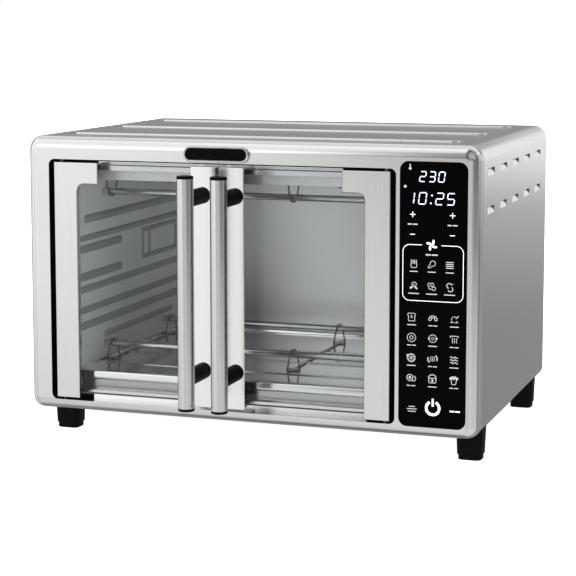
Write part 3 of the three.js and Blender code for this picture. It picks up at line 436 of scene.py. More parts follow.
def make_materials(colours):
    """Makes every finish. The number after a colour is the share of it left in its darkest marks."""
    MATERIALS.update({
        # Drawn stainless sheet, belt-ground across: level streaks and soft, wide highlights.
        "front": brushed_steel("satin_stainless_front", colours.front, 0.947, 0, 0.19),
        # Bent stainless wrap, ground front to back: streaks run in depth, a little glossier.
        "housing": brushed_steel("satin_stainless_housing", colours.housing, 0.946, 1, 0.17),
        # Door stiles, ground upright: upright streaks that set the doors off from the frame.
        "door": brushed_steel("satin_stainless_door", colours.door, 0.947, 2, 0.19),
        # Meeting stiles of the same sheet, painted lighter: a painted highlight that makes them the
        # brightest steel on the front.
        "meeting": brushed_steel("satin_stainless_meeting_stile", colours.meeting, 0.941, 2, 0.17),
        # Centreless-ground tube: short streaks round the bar and one long highlight.
        "handle": brushed_steel(
            "ground_steel_tube", colours.handle, 0.925, 0, 0.2, line_mm=0.5, run_mm=30.0),
        # Cold-rolled aluminised liner: grey, cloudy, no clear mirror image.
        "liner": sheet_metal("cold_rolled_liner", colours.liner, 0.923, 0.5, size_mm=40.0),
        # Side liner dulled by heat: it scatters more of the light that comes through the doors.
        "side": sheet_metal("dulled_side_liner", colours.side, 0.917, 0.45, size_mm=40.0, metal=0.3),
        # Raised beads of the side liner in a darker grey: painted shade that makes them read as darker
        # stripes.
        "bead": sheet_metal("bead_painted_shade", colours.bead, 0.870, 0.5, size_mm=40.0, metal=0.5),
        # Bright annealed strip round the opening: a clearer, whiter edge.
        "ring": sheet_metal("bright_annealed_ring", colours.ring, 0.922, 0.24, size_mm=60.0),
        # Bright rolled back sheet: pale, with a slow gradient from what it mirrors.
        "rear": sheet_metal("bright_back_liner", colours.rear, 0.948, 0.37, size_mm=60.0),
        # Rolled tray steel: long faint bands, close to a mirror.
        "tray": brushed_steel(
            "bright_rolled_tray", colours.tray, 0.931, 0, 0.12,
            line_mm=6.0, run_mm=400.0, relief=0.008),
        # The tray's lower lip: darker and duller than its mouth.
        "skirt": brushed_steel(
            "rolled_tray_skirt", colours.skirt, 0.888, 0, 0.2, line_mm=1.0, run_mm=120.0, relief=0.01),
        # Hot-dip galvanised pan and back: blue-grey with a faint spangle.
        "zinc": sheet_metal("galvanised_sheet", colours.zinc, 0.893, 0.42, size_mm=14.0, relief=0.05),
        # Bright-annealed heater sheath: thin sharp highlights along the rods.
        "heater": sheet_metal(
            "bright_heater_sheath", colours.heater, 0.790, 0.18, size_mm=12.0, relief=0.02),
        # Drawn steel wire and pins: dark grey with a narrow shine.
        "wire": chromed("drawn_steel_wire", colours.wire, 0.592, 0.25),
        # Bright chromium plate on the probe: dark mirror.
        "chrome": chromed("bright_chrome", colours.chrome, 0.643, 0.12),
        # Satin nickel rim of the badge: pale, softly mirroring.
        "rim": chromed("satin_nickel_rim", colours.rim, 0.809, 0.2),
        # Moulded black nylon of caps and standoffs: deep black with a soft sheen.
        "black": moulded("moulded_black_nylon", colours.nylon, 0.368, 0.5),
        # Rubbery black foot: a shade lighter and matt.
        "foot": moulded("moulded_black_foot", colours.foot, 0.419, 0.5),
        # Gloss black ABS plate: flat and darker than the nylon.
        "badge": moulded("gloss_black_badge", colours.badge, 0.333, 0.2, relief=0.02),
        # Painted shade: black sheets behind the hinges keep the gaps round the stiles dark.
        "gap_shade": moulded("painted_gap_shade", colours.gap_shade_colour, 0.500, 0.35, relief=0.02),
        # Painted shade: grey strips along the panes' upper and lower edges, a dark line above and
        # below the clear glass for the shade in the gaps at the doors' edges.
        "ground": moulded("painted_pane_edge_shade", colours.pane_edge_shade_colour, 0.518, 0.5, relief=0.02),
        # Back-printed tempered glass: black, flat and wet-looking, with faint wipe marks.
        "glass": worked_surface(
            "tempered_black_glass", colours.panel, 1.0, (0.05, 0.11), [14.0, 14.0, 50.0],
            IOR=1.5, Specular_IOR_Level=0.02),
        "pane": door_glass(colours.pane, colours.pane_mirror),
        # White screen print behind the glass: crisp signs, with a painted glow that makes them just
        # lighter than lit paper.
        "legend": printed("white_legend_print", colours.legend, 0.35),
        # The same print, thinner: grey small signs and captions, with a weaker painted glow.
        "faint": printed("grey_legend_print", colours.caption, 0.2),
        # Back-lit digits: pale blue, glowing enough to read on black.
        "digits": printed("backlit_digit_blue", colours.digits, 0.9),
        # Glass-fibre board under green solder mask: hidden, dull green with a weave.
        "board": worked_surface(
            "solder_mask_green", colours.board, 0.529, (0.43, 0.47), [1.5] * 3, detail=1.0, IOR=1.55),
    })


# ------------------------------------------------------------------ sizes and settings
def length_setting(name, description, metres, least=0.0):
    """A length property in metres."""
    return bpy.props.FloatProperty(
        name=name, description=description, default=metres, min=least, unit="LENGTH")


class OvenSizes(bpy.types.PropertyGroup):
    nose: length_setting("Front edge radius", "Rounded outer edge of the front frame", 0.012, 0.002)
    frame_depth: length_setting("Frame depth", "How far the drawn front reaches back", 0.014, 0.012)
    top_corner: length_setting("Upper corner radius", "The body's upper corners", 0.014, 0.002)
    bottom_corner: length_setting("Lower corner radius", "The body's lower corners", 0.0125, 0.002)
    sheet: length_setting("Sheet", "Thickness of the steel sheet", 0.0012, 0.0003)
    liner: length_setting("Liner", "Thickness of the cavity sheets", 0.001, 0.0003)
    bead_rise: length_setting("Wall bead", "How far a bead stands out of the side wall", 0.0018, 0.001)
    seam_round: length_setting("Seam edge", "Edge rolled where frame and housing meet", 0.0012, 0.0001)
    opening_corner: length_setting("Opening corner", "Corner radius of the door opening", 0.006)
    ring_overlap: length_setting("Ring overlap", "How far the cavity's ring passes the opening", 0.004)
    wrap_lip: length_setting("Wrap lip", "Lip that the housing turns in under the body", 0.008)
    rib_width: length_setting("Bead width", "Width of a pressed bead in the top", 0.016)
    rib_inset: length_setting("Bead end inset", "Distance from the side to a bead's end", 0.030)
    rib_first: length_setting("First bead", "First bead's middle behind the front face", 0.052)
    rib_pitch: length_setting("Bead pitch", "Distance between beads", 0.114)
    rib_share: bpy.props.FloatProperty(
        name="Bead height", description="Share of the frame's bead height that a bead rises",
        default=0.6, min=0.1, max=1.0, subtype="FACTOR")
    louvre_length: length_setting("Louvre length", "Length of one louvre", 0.028)
    louvre_height: length_setting("Louvre height", "Height of one louvre", 0.008)
    louvre_press: length_setting("Louvre depth", "How far a louvre is pressed in", 0.003)
    louvre_pitch: length_setting("Louvre pitch", "Distance between louvres in a row", 0.0565)
    louvre_first: length_setting("First louvre", "First louvre's middle behind the front face", 0.046)
    louvre_drop: length_setting("Upper louvre drop", "Upper row's middle below the top", 0.027)
    louvre_row: length_setting("Louvre row gap", "Distance between the two rows", 0.036)
    panel_corner: length_setting("Panel corner", "Corner radius of the control glass", 0.008)
    handle_wall: length_setting("Handle wall", "Wall of the handle tube", 0.001)


def colour_setting(name, description, code):
    """A colour property whose default is an sRGB hex colour."""
    return bpy.props.FloatVectorProperty(
        name=name, description=description, default=linear(code), subtype="COLOR", min=0.0, max=1.0)


class OvenColours(bpy.types.PropertyGroup):
    front: colour_setting("Front frame", "Satin steel of the front frame", "d2d2d1")
    housing: colour_setting("Housing", "Satin steel of the housing", "cecece")
    door: colour_setting("Door stiles", "Satin steel of the outer door stiles", "d1d1d0")
    # Painted highlight: the same steel as the door stiles, made lighter.
    meeting: colour_setting("Meeting stiles", "Satin steel where the doors meet", "e2e2e1")
    handle: colour_setting("Handles", "Ground steel of the handle tubes", "cdcdcd")
    liner: colour_setting("Cavity liner", "Ceiling, floor and right wall", "e6e6e7")
    side: colour_setting("Left liner", "Left wall, dulled by heat", "dbdddf")
    # Painted shade: the beads' darker grey.
    bead: colour_setting("Liner beads", "Raised beads of the left wall", "a0a4a6")
    ring: colour_setting("Cavity ring", "Bright strip round the opening", "e4e4e4")
    rear: colour_setting("Back liner", "Back wall of the cavity", "f2f2f2")
    tray: colour_setting("Crumb tray", "Tray floor and mouth", "f6f6f6")
    skirt: colour_setting("Tray lip", "Lower lip of the tray", "c0c0c1")
    zinc: colour_setting("Zinc sheet", "Bottom pan and back panel", "abaeaf")
    heater: colour_setting("Heating rods", "Sheath of the heating rods", "c6c8ca")
    wire: colour_setting("Wire", "Hangers, stands, pins and cable", "767677")
    chrome: colour_setting("Probe", "Plated temperature probe", "808082")
    rim: colour_setting("Badge rim", "Nickel rim of the badge", "c6c6c8")
    nylon: colour_setting("Black nylon", "Handle caps, standoffs and small fittings", "060607")
    foot: colour_setting("Feet", "Moulded feet", "0a0a0b")
    badge: colour_setting("Badge plate", "Bare gloss plate of the badge", "030303")
    # Painted shade: the black of the sheets behind the hinges, which stand in for the shade in the
    # gaps.
    gap_shade_colour: colour_setting("Gap shade", "Dark strips behind the hinges", "060606")
    # Painted shade: the grey of the strips along the panes' edges.
    pane_edge_shade_colour: colour_setting("Glass edge", "Ground edges of the door panes", "4a4f50")
    panel: colour_setting("Control glass", "Black control glass", "020202")
    pane: colour_setting("Pane tint", "Tint of light through a door pane", "f7f8f8")
    pane_mirror: colour_setting("Pane reflection", "Tint of what a door pane mirrors", "a8aaab")
    legend: colour_setting("White print", "Large signs on the control glass", "e2e2e2")
    caption: colour_setting("Grey print", "Small signs and captions", "a4a4a4")
    digits: colour_setting("Lit digits", "Digits of the display", "c9ccf0")
    board: colour_setting("Circuit board", "Solder mask of the boards", "256744")


class StudioSettings(bpy.types.PropertyGroup):
    azimuth: bpy.props.FloatProperty(
        name="Azimuth", description="Camera's turn to the right of straight on",
        default=math.radians(18.84), subtype="ANGLE")
    elevation: bpy.props.FloatProperty(
        name="Elevation", description="Camera's angle above level",
        default=math.radians(6.84), subtype="ANGLE")
    distance: length_setting("Distance", "From the camera to the point it looks at", 1.8565, 0.1)
    lens: bpy.props.FloatProperty(
        name="Lens", description="Focal length on a 36 mm sensor", default=111.2, unit="CAMERA")
    shift: bpy.props.FloatProperty(
        name="Shift", description="Vertical lens shift, in sensor widths",
        default=-0.104, subtype="FACTOR")
    aim: bpy.props.FloatVectorProperty(
        name="Aim", description="Point the camera looks at", default=(-0.0102, 0.024, 0.1976),
        subtype="TRANSLATION", unit="LENGTH")
    floor_colour: colour_setting("Floor", "Colour of the floor and backdrop", "f6f6f6")
    floor_glow: bpy.props.FloatProperty(
        name="Floor glow", description="Light given off by the floor, which lifts the shadows",
        default=0.85, min=0.0)
    room_colour: colour_setting("Room", "Colour of the room behind the floor", "ffffff")
    key_power: bpy.props.FloatProperty(
        name="Overhead light", description="Strength of the soft overhead light", default=2.9, min=0.0)
    fill_power: bpy.props.FloatProperty(
        name="Low lamp", description="Power of the low lamp that reaches into the cavity", default=9.0,
        min=0.0, unit="POWER")
    fill_size: length_setting("Low lamp size", "Side of the low lamp's square face", 0.7, 0.01)
    fill_place: bpy.props.FloatVectorProperty(
        name="Low lamp place", description="Middle of the low lamp", default=(0.95, -1.25, 0.2),
        subtype="TRANSLATION", unit="LENGTH")
    fill_aim: bpy.props.FloatVectorProperty(
        name="Low lamp aim", description="Point in the cavity that the low lamp faces",
        default=(-0.18, 0.0, 0.2), subtype="TRANSLATION", unit="LENGTH")


# ------------------------------------------------------------------ front frame
def opening(sizes):
    """Lowest and highest corner of the door opening, inside the cavity's ring."""
    low, high = corners("cavity_ring")
    return grown(low, high, x=-sizes.ring_overlap, z=-sizes.ring_overlap)


class OVEN_OT_front_frame(bpy.types.Operator):
    """Drawn front frame: rounded outer edge, folded door opening, hole for the control glass"""
    bl_idname = "oven.front_frame"
    bl_label = "Front Frame"

    def execute(self, context):
        sizes = context.scene.oven_sizes
        low, high = corners("front_frame")
        back = low.y + sizes.frame_depth
        past = 0.004
        outer = self.nosed(low, (high.x, back, high.z), sizes, 0.0)
        inner = self.nosed(low, (high.x, back + past, high.z), sizes, sizes.sheet)
        carve(outer, inner)
        open_low, open_high = opening(sizes)
        lips = bmesh.new()
        wall = sizes.sheet
        rounded_block(
            lips,
            (open_low.x - wall, low.y + wall / 2, open_low.z - wall),
            (open_high.x + wall, high.y, open_high.z + wall),
            1, sizes.opening_corner + wall, 8,
        )
        carve(outer, raw(lips, "lips"), "UNION")
        cut_rounded(
            outer, (open_low.x, low.y - CLEAR, open_low.z), (open_high.x, high.y + CLEAR, open_high.z),
            sizes.opening_corner, 8,
        )
        start, end = grown(*corners("control_glass"), x=FIT, z=FIT)
        cut_rounded(
            outer, (start.x, low.y - CLEAR, start.z), (end.x, back + 0.001, end.z),
            sizes.panel_corner + FIT, 10,
        )
        outer.name = "front_frame_skin"
        finish(outer, "oven", "front", "front_steel", ("front_frame",), edge=0.0005, smooth=28)
        return {"FINISHED"}

    def nosed(self, low, high, sizes, inset):
        """A block with rounded corners and a rounded front edge, drawn in by inset."""
        bm = bmesh.new()
        low, high = Vector(low), Vector(high)
        start = (low.x + inset, low.y + inset, low.z + inset)
        end = (high.x - inset, high.y, high.z - inset)
        rounded_block(bm, start, end, 1, sizes.bottom_corner - inset, 14, sizes.top_corner - inset)
        front = edge_loop_at(bm, 1, start[1])
        round_over(bm, front, sizes.nose - inset, 10)
        if not inset:
            round_over(bm, edge_loop_at(bm, 1, end[1]), sizes.seam_round, 4)
        return raw(bm, "nose")


# ------------------------------------------------------------------ housing
TOP_BEADS = 3
LOUVRE_ROWS, LOUVRES_IN_ROW = 2, 5


class OVEN_OT_housing(bpy.types.Operator):
    """Wrapped housing sheet with three beads on top and louvres in both sides"""
    bl_idname = "oven.housing"
    bl_label = "Housing"

    def execute(self, context):
        sizes = context.scene.oven_sizes
        low, high = corners("housing_wrap")
        frame_low, frame_high = corners("front_frame")
        top = frame_high.z
        shell = self.tube(low, (high.x, high.y, top), sizes, 0.0)
        half = sizes.rib_width / 2
        rise = (high.z - top) * sizes.rib_share
        sunk, nearly_round, dome = 0.001, 0.98, 1.3
        for i in range(TOP_BEADS):
            y = frame_low.y + sizes.rib_first + i * sizes.rib_pitch
            bead = bmesh.new()
            rounded_block(
                bead,
                (low.x + sizes.rib_inset, y - half, top - sunk),
                (high.x - sizes.rib_inset, y + half, top + rise),
                2, half * nearly_round, 10,
            )
            crown = edge_loop_at(bead, 2, top + rise)
            round_over(bead, crown, rise * dome, 5)
            carve(shell, raw(bead, "bead"), "UNION")
        pockets, cuts = bmesh.new(), bmesh.new()
        for side, face in ((-1, low.x), (1, high.x)):
            for row in range(LOUVRE_ROWS):
                z = top - sizes.louvre_drop - row * sizes.louvre_row - sizes.louvre_height / 2
                for i in range(LOUVRES_IN_ROW):
                    y = frame_low.y + sizes.louvre_first + i * sizes.louvre_pitch
                    self.louvre(pockets, cuts, side, face, y, z, sizes)
        inner = self.tube(
            (low.x, low.y - 0.002, low.z), (high.x, high.y + 0.002, top), sizes, sizes.sheet,
        )
        carve(shell, inner)
        carve(shell, raw(pockets, "pockets"), "UNION")
        carve(shell, raw(cuts, "cuts"))
        bottom = bmesh.new()
        reach = sizes.bottom_corner + sizes.wrap_lip
        block(
            bottom,
            (low.x + reach, low.y - CLEAR, low.z - CLEAR),
            (high.x - reach, high.y + CLEAR, low.z + 0.004),
        )
        carve(shell, raw(bottom, "slot"))
        shell.name = "housing_skin"
        finish(
            shell, "oven", "housing", "housing_steel", ("housing_wrap",),
            edge=0.0004, segments=2, smooth=28,
        )
        return {"FINISHED"}

    def tube(self, low, high, sizes, inset):
        """The housing's outline as a solid, drawn in by inset."""
        bm = bmesh.new()
        low, high = Vector(low), Vector(high)
        rounded_block(
            bm,
            (low.x + inset, low.y, low.z + inset),
            (high.x - inset, high.y, high.z - inset),
            1, sizes.bottom_corner - inset, 14, sizes.top_corner - inset,
        )
        if not inset:
            for end in (low.y, high.y):
                round_over(bm, edge_loop_at(bm, 1, end), sizes.seam_round, 4)
        return raw(bm, "tube")

    def louvre(self, pockets, cuts, side, face, y, z, sizes):
        """A scoop pressed in at its top and open at its rear end: the sheet behind, and its dish."""
        half = sizes.louvre_length / 2
        depth, height, wall = sizes.louvre_press, sizes.louvre_height, sizes.sheet
        inner, outer = face - side * depth, face + side * 0.001
        start, end = y - half, y + half
        self.scoop(
            pockets, side, face - side * wall, inner - side * wall, start - wall, end, z, height, wall,
        )
        self.scoop(cuts, side, face + side * 0.0001, inner, start, end + wall, z, height, 0, outer)

    def scoop(self, bm, side, shallow, deep, y0, y1, z, height, extra, outer=None):
        """A bar whose inner face curves from shallow at the bottom to deep at the top."""
        if outer is None:
            outer = shallow + side * 0.0004
        verts = block(bm, (min(deep, outer), y0, z), (max(deep, outer), y1, z + height + extra))
        upright = running(edges_of(verts), 2)
        bmesh.ops.subdivide_edges(bm, edges=upright, cuts=5)
        near, curve = 1e-6, 1.8
        for vert in bm.verts:
            x, y, up = vert.co
            own = y0 - near < y < y1 + near and -near < up - z < height + extra + near
            if abs(x - deep) < near and own:
                share = min(max((up - z) / height, 0.0), 1.0) ** curve
                vert.co.x = shallow + (deep - shallow) * share


# ------------------------------------------------------------------ doors
DOORS = (("left", "left_door"), ("right", "right_door"))
PANE_LIFT = (0.0022, 0.0016)  # how far a pane's lower and upper edges stand above its frame node's
EDGE_SHADE_STRIP = 0.0008  # height of the strip of painted shade above and below the clear glass


class OVEN_OT_doors(bpy.types.Operator):
    """Door stiles, hinge pins and the clear panes"""
    bl_idname = "oven.doors"
    bl_label = "Doors"

    def execute(self, context):
        for side, body in DOORS:
            from_frame(side + "_outer_stile", "door", edge=0.0004, segments=3)
            from_frame(side + "_inner_stile", "meeting", edge=0.0007, segments=3)
            for pin in ("_top_pin", "_bottom_pin"):
                from_frame(side + pin, "wire", edge=0.0, smooth=40)
            self.pane(side, body)
        return {"FINISHED"}

    def pane(self, side, body):
        """Clear pane with a grey strip of painted shade along its upper and lower edges."""
        low, high = corners(side + "_door_glass")
        strip = EDGE_SHADE_STRIP
        low.z, high.z = low.z + PANE_LIFT[0], high.z + PANE_LIFT[1]
        bm = bmesh.new()
        block(bm, (low.x, low.y, low.z + strip), (high.x, high.y, high.z - strip))
        piece(bm, side + "_pane", body, "pane", "door_glass", (side + "_door_glass",))
        # The grey edge strips are painted shade for the gaps at the doors' edges.
        for end, z in (("top", high.z - strip), ("bottom", low.z)):
            bm = bmesh.new()
            block(bm, (low.x, low.y, z), (high.x, high.y, z + strip))
            name = side + "_pane_edge_" + end
            piece(bm, name, body, "ground", "door_glass", edge=0.0002, segments=2)


class OVEN_OT_handles(bpy.types.Operator):
    """Bar handles: ground steel tube, black end caps and saddle standoffs"""
    bl_idname = "oven.handles"
    bl_label = "Handles"

    def execute(self, context):
        sizes = context.scene.oven_sizes
        for side, body in DOORS:
            low, high = corners(side + "_handle_tube")
            middle = (low + high) / 2
            radius = (high.x - low.x) / 2
            self.tube(side, body, middle, radius, low.z, high.z, sizes)
            self.cap(side, body, "top", middle, radius, 1)
            self.cap(side, body, "bottom", middle, radius, -1)
            for level in ("upper", "lower"):
                self.standoff(side, body, level, middle, radius)
        return {"FINISHED"}

    def tube(self, side, body, middle, radius, start, end, sizes):
        """Open tube with softened rims."""
        bore = radius - sizes.handle_wall
        soft = 0.0003
        profile = [
            (bore, start), (radius - soft, start), (radius, start + soft),
            (radius, end - soft), (radius - soft, end), (bore, end), (bore, start),
        ]
        bm = bmesh.new()
        turn(bm, profile, (middle.x, middle.y, 0), (0, 0, 1), 72)
        piece(bm, side + "_handle", body, "handle", "handle_steel", (side + "_handle_tube",))

    def cap(self, side, body, end, middle, radius, up):
        """Turned cap: a spigot in the tube and a softened disc over its end."""
        node = side + "_handle_cap_" + end
        low, high = corners(node)
        inner, face = (low.z, high.z) if up > 0 else (high.z, low.z)
        tube_low, tube_high = corners(side + "_handle_tube")
        seat = tube_high.z if up > 0 else tube_low.z
        soft = 0.0008
        spigot = radius - 0.0014
        profile = [
            (0, inner), (spigot, inner), (spigot, seat), (radius, seat),
            (radius, face - up * soft), (radius - soft * 0.3, face - up * soft * 0.3),
            (radius - soft, face), (0, face),
        ]
        bm = bmesh.new()
        turn(bm, profile, (middle.x, middle.y, 0), (0, 0, 1), 64)
        piece(bm, side + "_cap_" + end, body, "black", "handle_plastic", (node,))

    def standoff(self, side, body, level, middle, radius):
        """Round post whose front end is hollowed to sit against the tube."""
        node = side + "_standoff_" + level
        low, high = corners(node)
        centre = (low + high) / 2
        profile = [
            (0, high.y), (radius, high.y), (radius, middle.y), (0, middle.y),
        ]
        bm = bmesh.new()
        turn(bm, profile, (centre.x, 0, centre.z), (0, 1, 0), 56)
        post = raw(bm, "post")
        saddle = bmesh.new()
        reach = radius + 0.0003
        turn(
            saddle,
            [(0, low.z - 0.02), (reach, low.z - 0.02), (reach, high.z + 0.02), (0, high.z + 0.02)],
            (middle.x, middle.y, 0), (0, 0, 1), 72,
        )
        carve(post, raw(saddle, "saddle"))
        post.name = side + "_post_" + level
        finish(
            post, body, "black", "handle_plastic", (node,), edge=0.0004, segments=2, smooth=35,
        )
        post.visible_glossy = False


# ------------------------------------------------------------------ badge
class OVEN_OT_badge(bpy.types.Operator):
    """Plain badge over the doors: bright rim round a bare black plate"""
    bl_idname = "oven.badge"
    bl_label = "Badge"

    def execute(self, context):
        low, high = corners("badge_rim")
        inner_low, inner_high = corners("badge_plate")
        bm = bmesh.new()
        rounded_block(bm, low, high, 1, (high.z - low.z) * FULL_ROUND, 20)
        rim = raw(bm, "badge_rim_skin")
        start, end = grown(inner_low, inner_high, x=FIT, z=FIT)
        cut_rounded(
            rim, (start.x, low.y - CLEAR, start.z), (end.x, high.y + CLEAR, end.z),
            (end.z - start.z) * FULL_ROUND, 20,
        )
        finish(rim, "oven", "rim", "chrome_trim", ("badge_rim",), edge=0.0006)
        plate = bmesh.new()
        rounded_block(plate, inner_low, inner_high, 1, (inner_high.z - inner_low.z) * FULL_ROUND, 20)
        round_over(plate, edge_loop_at(plate, 1, inner_low.y), 0.0006, 3)
        piece(plate, "badge_plate_skin", "oven", "badge", "badge_black", ("badge_plate",))
        return {"FINISHED"}


# ------------------------------------------------------------------ control panel
class Legend:
    """Collects flat printed shapes on the control glass. Places are in mm: x and z."""

    def __init__(self, front, weight=1.0):
        self.weight = weight
        self.middle = (0.0, 0.0)
        self.bm = bmesh.new()
        self.thick = 0.00005
        self.y = front - self.thick

    def draw(self, sign, x, z):
        """Draws a sign whose strokes are given from its middle."""
        self.middle = (x, z)
        sign(self)
        self.middle = (0.0, 0.0)

    def bar(self, x0, z0, x1, z1, width):
        """A straight stroke with square ends."""
        x, z = self.middle
        start, end = Vector((x + x0, 0, z + z0)) / 1000, Vector((x + x1, 0, z + z1)) / 1000
        length = (end - start).length + 1e-6
        verts = bmesh.ops.create_cube(self.bm, size=1.0)["verts"]
        bmesh.ops.scale(self.bm, vec=(length, self.thick, width * self.weight / 1000), verts=verts)
        angle = math.atan2(end.z - start.z, end.x - start.x)
        bmesh.ops.rotate(self.bm, matrix=Matrix.Rotation(-angle, 3, "Y"), verts=verts)
        middle = (start + end) / 2
        bmesh.ops.translate(self.bm, vec=(middle.x, self.y, middle.z), verts=verts)

    def path(self, points, width):
        """Straight strokes from point to point."""
        for a, b in zip(points, points[1:]):
            self.bar(*a, *b, width)

    def arc(self, x, z, radius, start, end, width, steps=20):
        """A curved stroke from one angle to another, in degrees."""
        angles = [math.radians(start + (end - start) * i / steps) for i in range(steps + 1)]
        self.path([(x + radius * math.cos(a), z + radius * math.sin(a)) for a in angles], width)

    def ring(self, x, z, radius, width, steps=24):
        """A closed round stroke."""
        self.arc(x, z, radius, 0, 360, width, steps)

    def dot(self, x, z, radius, squash=1.0, turn_by=0.0):
        """A filled disc, flattened by squash and turned by so many degrees."""
        x, z = x + self.middle[0], z + self.middle[1]
        made = bmesh.ops.create_circle(
            self.bm, cap_ends=True, radius=radius / 1000, segments=20,
        )["verts"]
        faces = list({f for v in made for f in v.link_faces})
        up = bmesh.ops.extrude_face_region(self.bm, geom=faces)["geom"]
        moved = [g for g in up if isinstance(g, bmesh.types.BMVert)]
        bmesh.ops.translate(self.bm, vec=(0, 0, self.thick), verts=moved)
        verts = made + moved
        bmesh.ops.scale(self.bm, vec=(1, squash, 1), verts=verts)
        bmesh.ops.rotate(self.bm, matrix=Matrix.Rotation(math.radians(turn_by), 3, "Z"), verts=verts)
        bmesh.ops.rotate(self.bm, matrix=Matrix.Rotation(math.radians(90), 3, "X"), verts=verts)
        bmesh.ops.translate(self.bm, vec=(x / 1000, self.y + self.thick / 2, z / 1000), verts=verts)

    def words(self, x, z, lengths, height=1.5):
        """Stand-ins for a small caption: short bars in a row."""
        gap = 0.9
        start = x - (sum(lengths) + gap * (len(lengths) - 1)) / 2
        for length in lengths:
            self.bar(start, z, start + length, z, height)
            start += length + gap


SEGMENTS = {
    "0": "abcdef", "1": "bc", "2": "abged", "3": "abgcd", "5": "afgcd",
}


def digit(legend, character, x, z, width, height, stroke, lean=0.12):
    """One seven-segment digit; x and z are its lower left corner."""
    half = height / 2
    inset = stroke * 0.62

    def at(dx, dz):
        return x + dx + dz * lean, z + dz

    places = {
        "a": (at(inset, height), at(width - inset, height)),
        "b": (at(width, height - inset), at(width, half + inset)),
        "c": (at(width, half - inset), at(width, inset)),
        "d": (at(inset, 0), at(width - inset, 0)),
        "e": (at(0, inset), at(0, half - inset)),
        "f": (at(0, half + inset), at(0, height - inset)),
        "g": (at(inset, half), at(width - inset, half)),
    }
    for segment in SEGMENTS[character]:
        (x0, z0), (x1, z1) = places[segment]
        legend.bar(x0, z0, x1, z1, stroke)


# Small signs made up for this oven, about 8 mm wide. Their strokes are in mm from their middle.
# Toast, loaf and joint; bagel, cycle and grill; pie, steam and waves; slices, pot and carton; and
# for the boxed rows sticks, drumstick and strips; leaves, nuggets and prawns.
def toast(pen):
    crust = [(-3, -3.6), (3, -3.6), (3, 1), (3.8, 2), (3.2, 3.6), (-3.2, 3.6), (-3.8, 2), (-3, 1)]
    pen.path(crust + crust[:1], 0.7)
    pen.path([(-1, 1.8), (1, 1), (-1, 0), (1, -0.8)], 0.5)


def loaf(pen):
    pen.arc(0, -2, 4.2, 0, 180, 0.8, 14)
    pen.path([(-4.2, -2), (-2, -2.4), (-1, 0.4), (1, 0.4), (2, -2.4), (4.2, -2)], 0.7)
    pen.bar(-1.4, 2, -1.8, -1, 0.6)
    pen.bar(1.4, 2, 1.8, -1, 0.6)


def joint_on_dish(pen):
    pen.arc(0, -0.4, 2.8, 20, 340, 0.6, 14)
    pen.bar(1.8, 0.8, 4, 3.2, 0.9)
    pen.bar(-4, -3, 3.6, -3, 0.7)


def bagel(pen):
    pen.ring(0, 0, 4, 0.7)
    pen.ring(0, 0, 1.6, 0.7, 14)


def cycle(pen):
    pen.arc(0, 0, 3.6, 20, 160, 0.7, 12)
    pen.arc(0, 0, 3.6, 200, 340, 0.7, 12)
    pen.dot(3.6, 0, 0.9)
    pen.dot(-3.6, 0, 0.9)
    pen.ring(0, 0, 1.3, 0.5, 12)


def grill(pen):
    pen.path([(-4, 2), (-3.6, 3.4), (3.6, 3.4), (4, 2)], 0.8)
    for i in (-1, 0, 1):
        pen.path([(i * 2, 1.6), (i * 2 + 0.5, 0), (i * 2, -1.6), (i * 2 + 0.5, -3.2)], 0.6)


def round_pie(pen):
    pen.ring(0, 0, 3.6, 1.1)
    for i in range(3):
        angle = math.radians(30 + 60 * i)
        dx, dz = 3.2 * math.cos(angle), 3.2 * math.sin(angle)
        pen.bar(-dx, -dz, dx, dz, 0.6)
    pen.dot(-3.6, 2.2, 1.0)


def steam(pen):
    for middle in (-1.7, 0, 1.7):
        left, right = middle - 0.3, middle + 0.4
        pen.path([(right, 2.4), (left, 0.8), (right, -0.6), (left, -2.2)], 0.6)
    pen.arc(0, 0, 4.4, -20, 50, 1.3, 8)
    pen.arc(0, 0, 4.4, 160, 230, 1.3, 8)


def waves(pen):
    for i in (-1, 0, 1):
        points = [(-3.6 + 0.6 * k, 2.6 * i + 0.7 * math.sin(k * math.pi / 3)) for k in range(13)]
        pen.path(points, 0.9)


def slices(pen):
    pen.ring(-1.2, 0.4, 2.9, 0.9, 18)
    pen.dot(-1.2, 0.4, 1.2)
    pen.arc(2, -0.4, 2.4, -120, 80, 0.9, 12)


def pot(pen):
    pen.path([(-3.4, 1), (-3.4, -2.6), (-2.6, -3.4), (2.6, -3.4), (3.4, -2.6), (3.4, 1)], 0.8)
    pen.arc(0, 0.6, 3.8, 15, 165, 1.0, 12)
    pen.bar(-4, 1, 4, 1, 0.8)
    pen.dot(0, -1.2, 1.1)


def carton(pen):
    pen.path([(-2.6, 0.8), (-1.8, -3.6), (1.8, -3.6), (2.6, 0.8)], 0.8)
    for dx, dz in ((-3, 2), (-1.2, 3.0), (1.2, 3.0), (3, 2), (0, 1.8)):
        pen.dot(dx, dz, 1.15)


def sticks(pen):
    for i in range(4):
        pen.bar(-2.2 + 1.5 * i, 0.2, -2.4 + 1.6 * i, 3.8, 0.9)
    pen.path([(-3, 0.4), (-2.4, -3.4), (2.4, -3.4), (3, 0.4)], 0.7)


def drumstick(pen):
    pen.arc(1, 1, 2.5, -100, 190, 0.7, 16)
    pen.path([(-1.4, 0.6), (-3.6, -2.4), (-2.6, -3.4), (0.4, -1.4)], 0.7)


def strips(pen):
    for i in range(4):
        pen.bar(-3.6, 2.7 - 1.8 * i, 3.6, 2.7 - 1.8 * i, 1.0)


def leaves(pen):
    pen.ring(0.4, 1.4, 2.2, 0.7, 14)
    pen.dot(-2.4, -1.6, 1.5, 0.6, 30)
    pen.dot(2.4, -1.8, 1.6, 0.5, -40)
    pen.bar(-0.6, -0.6, 0.4, 1.8, 0.7)


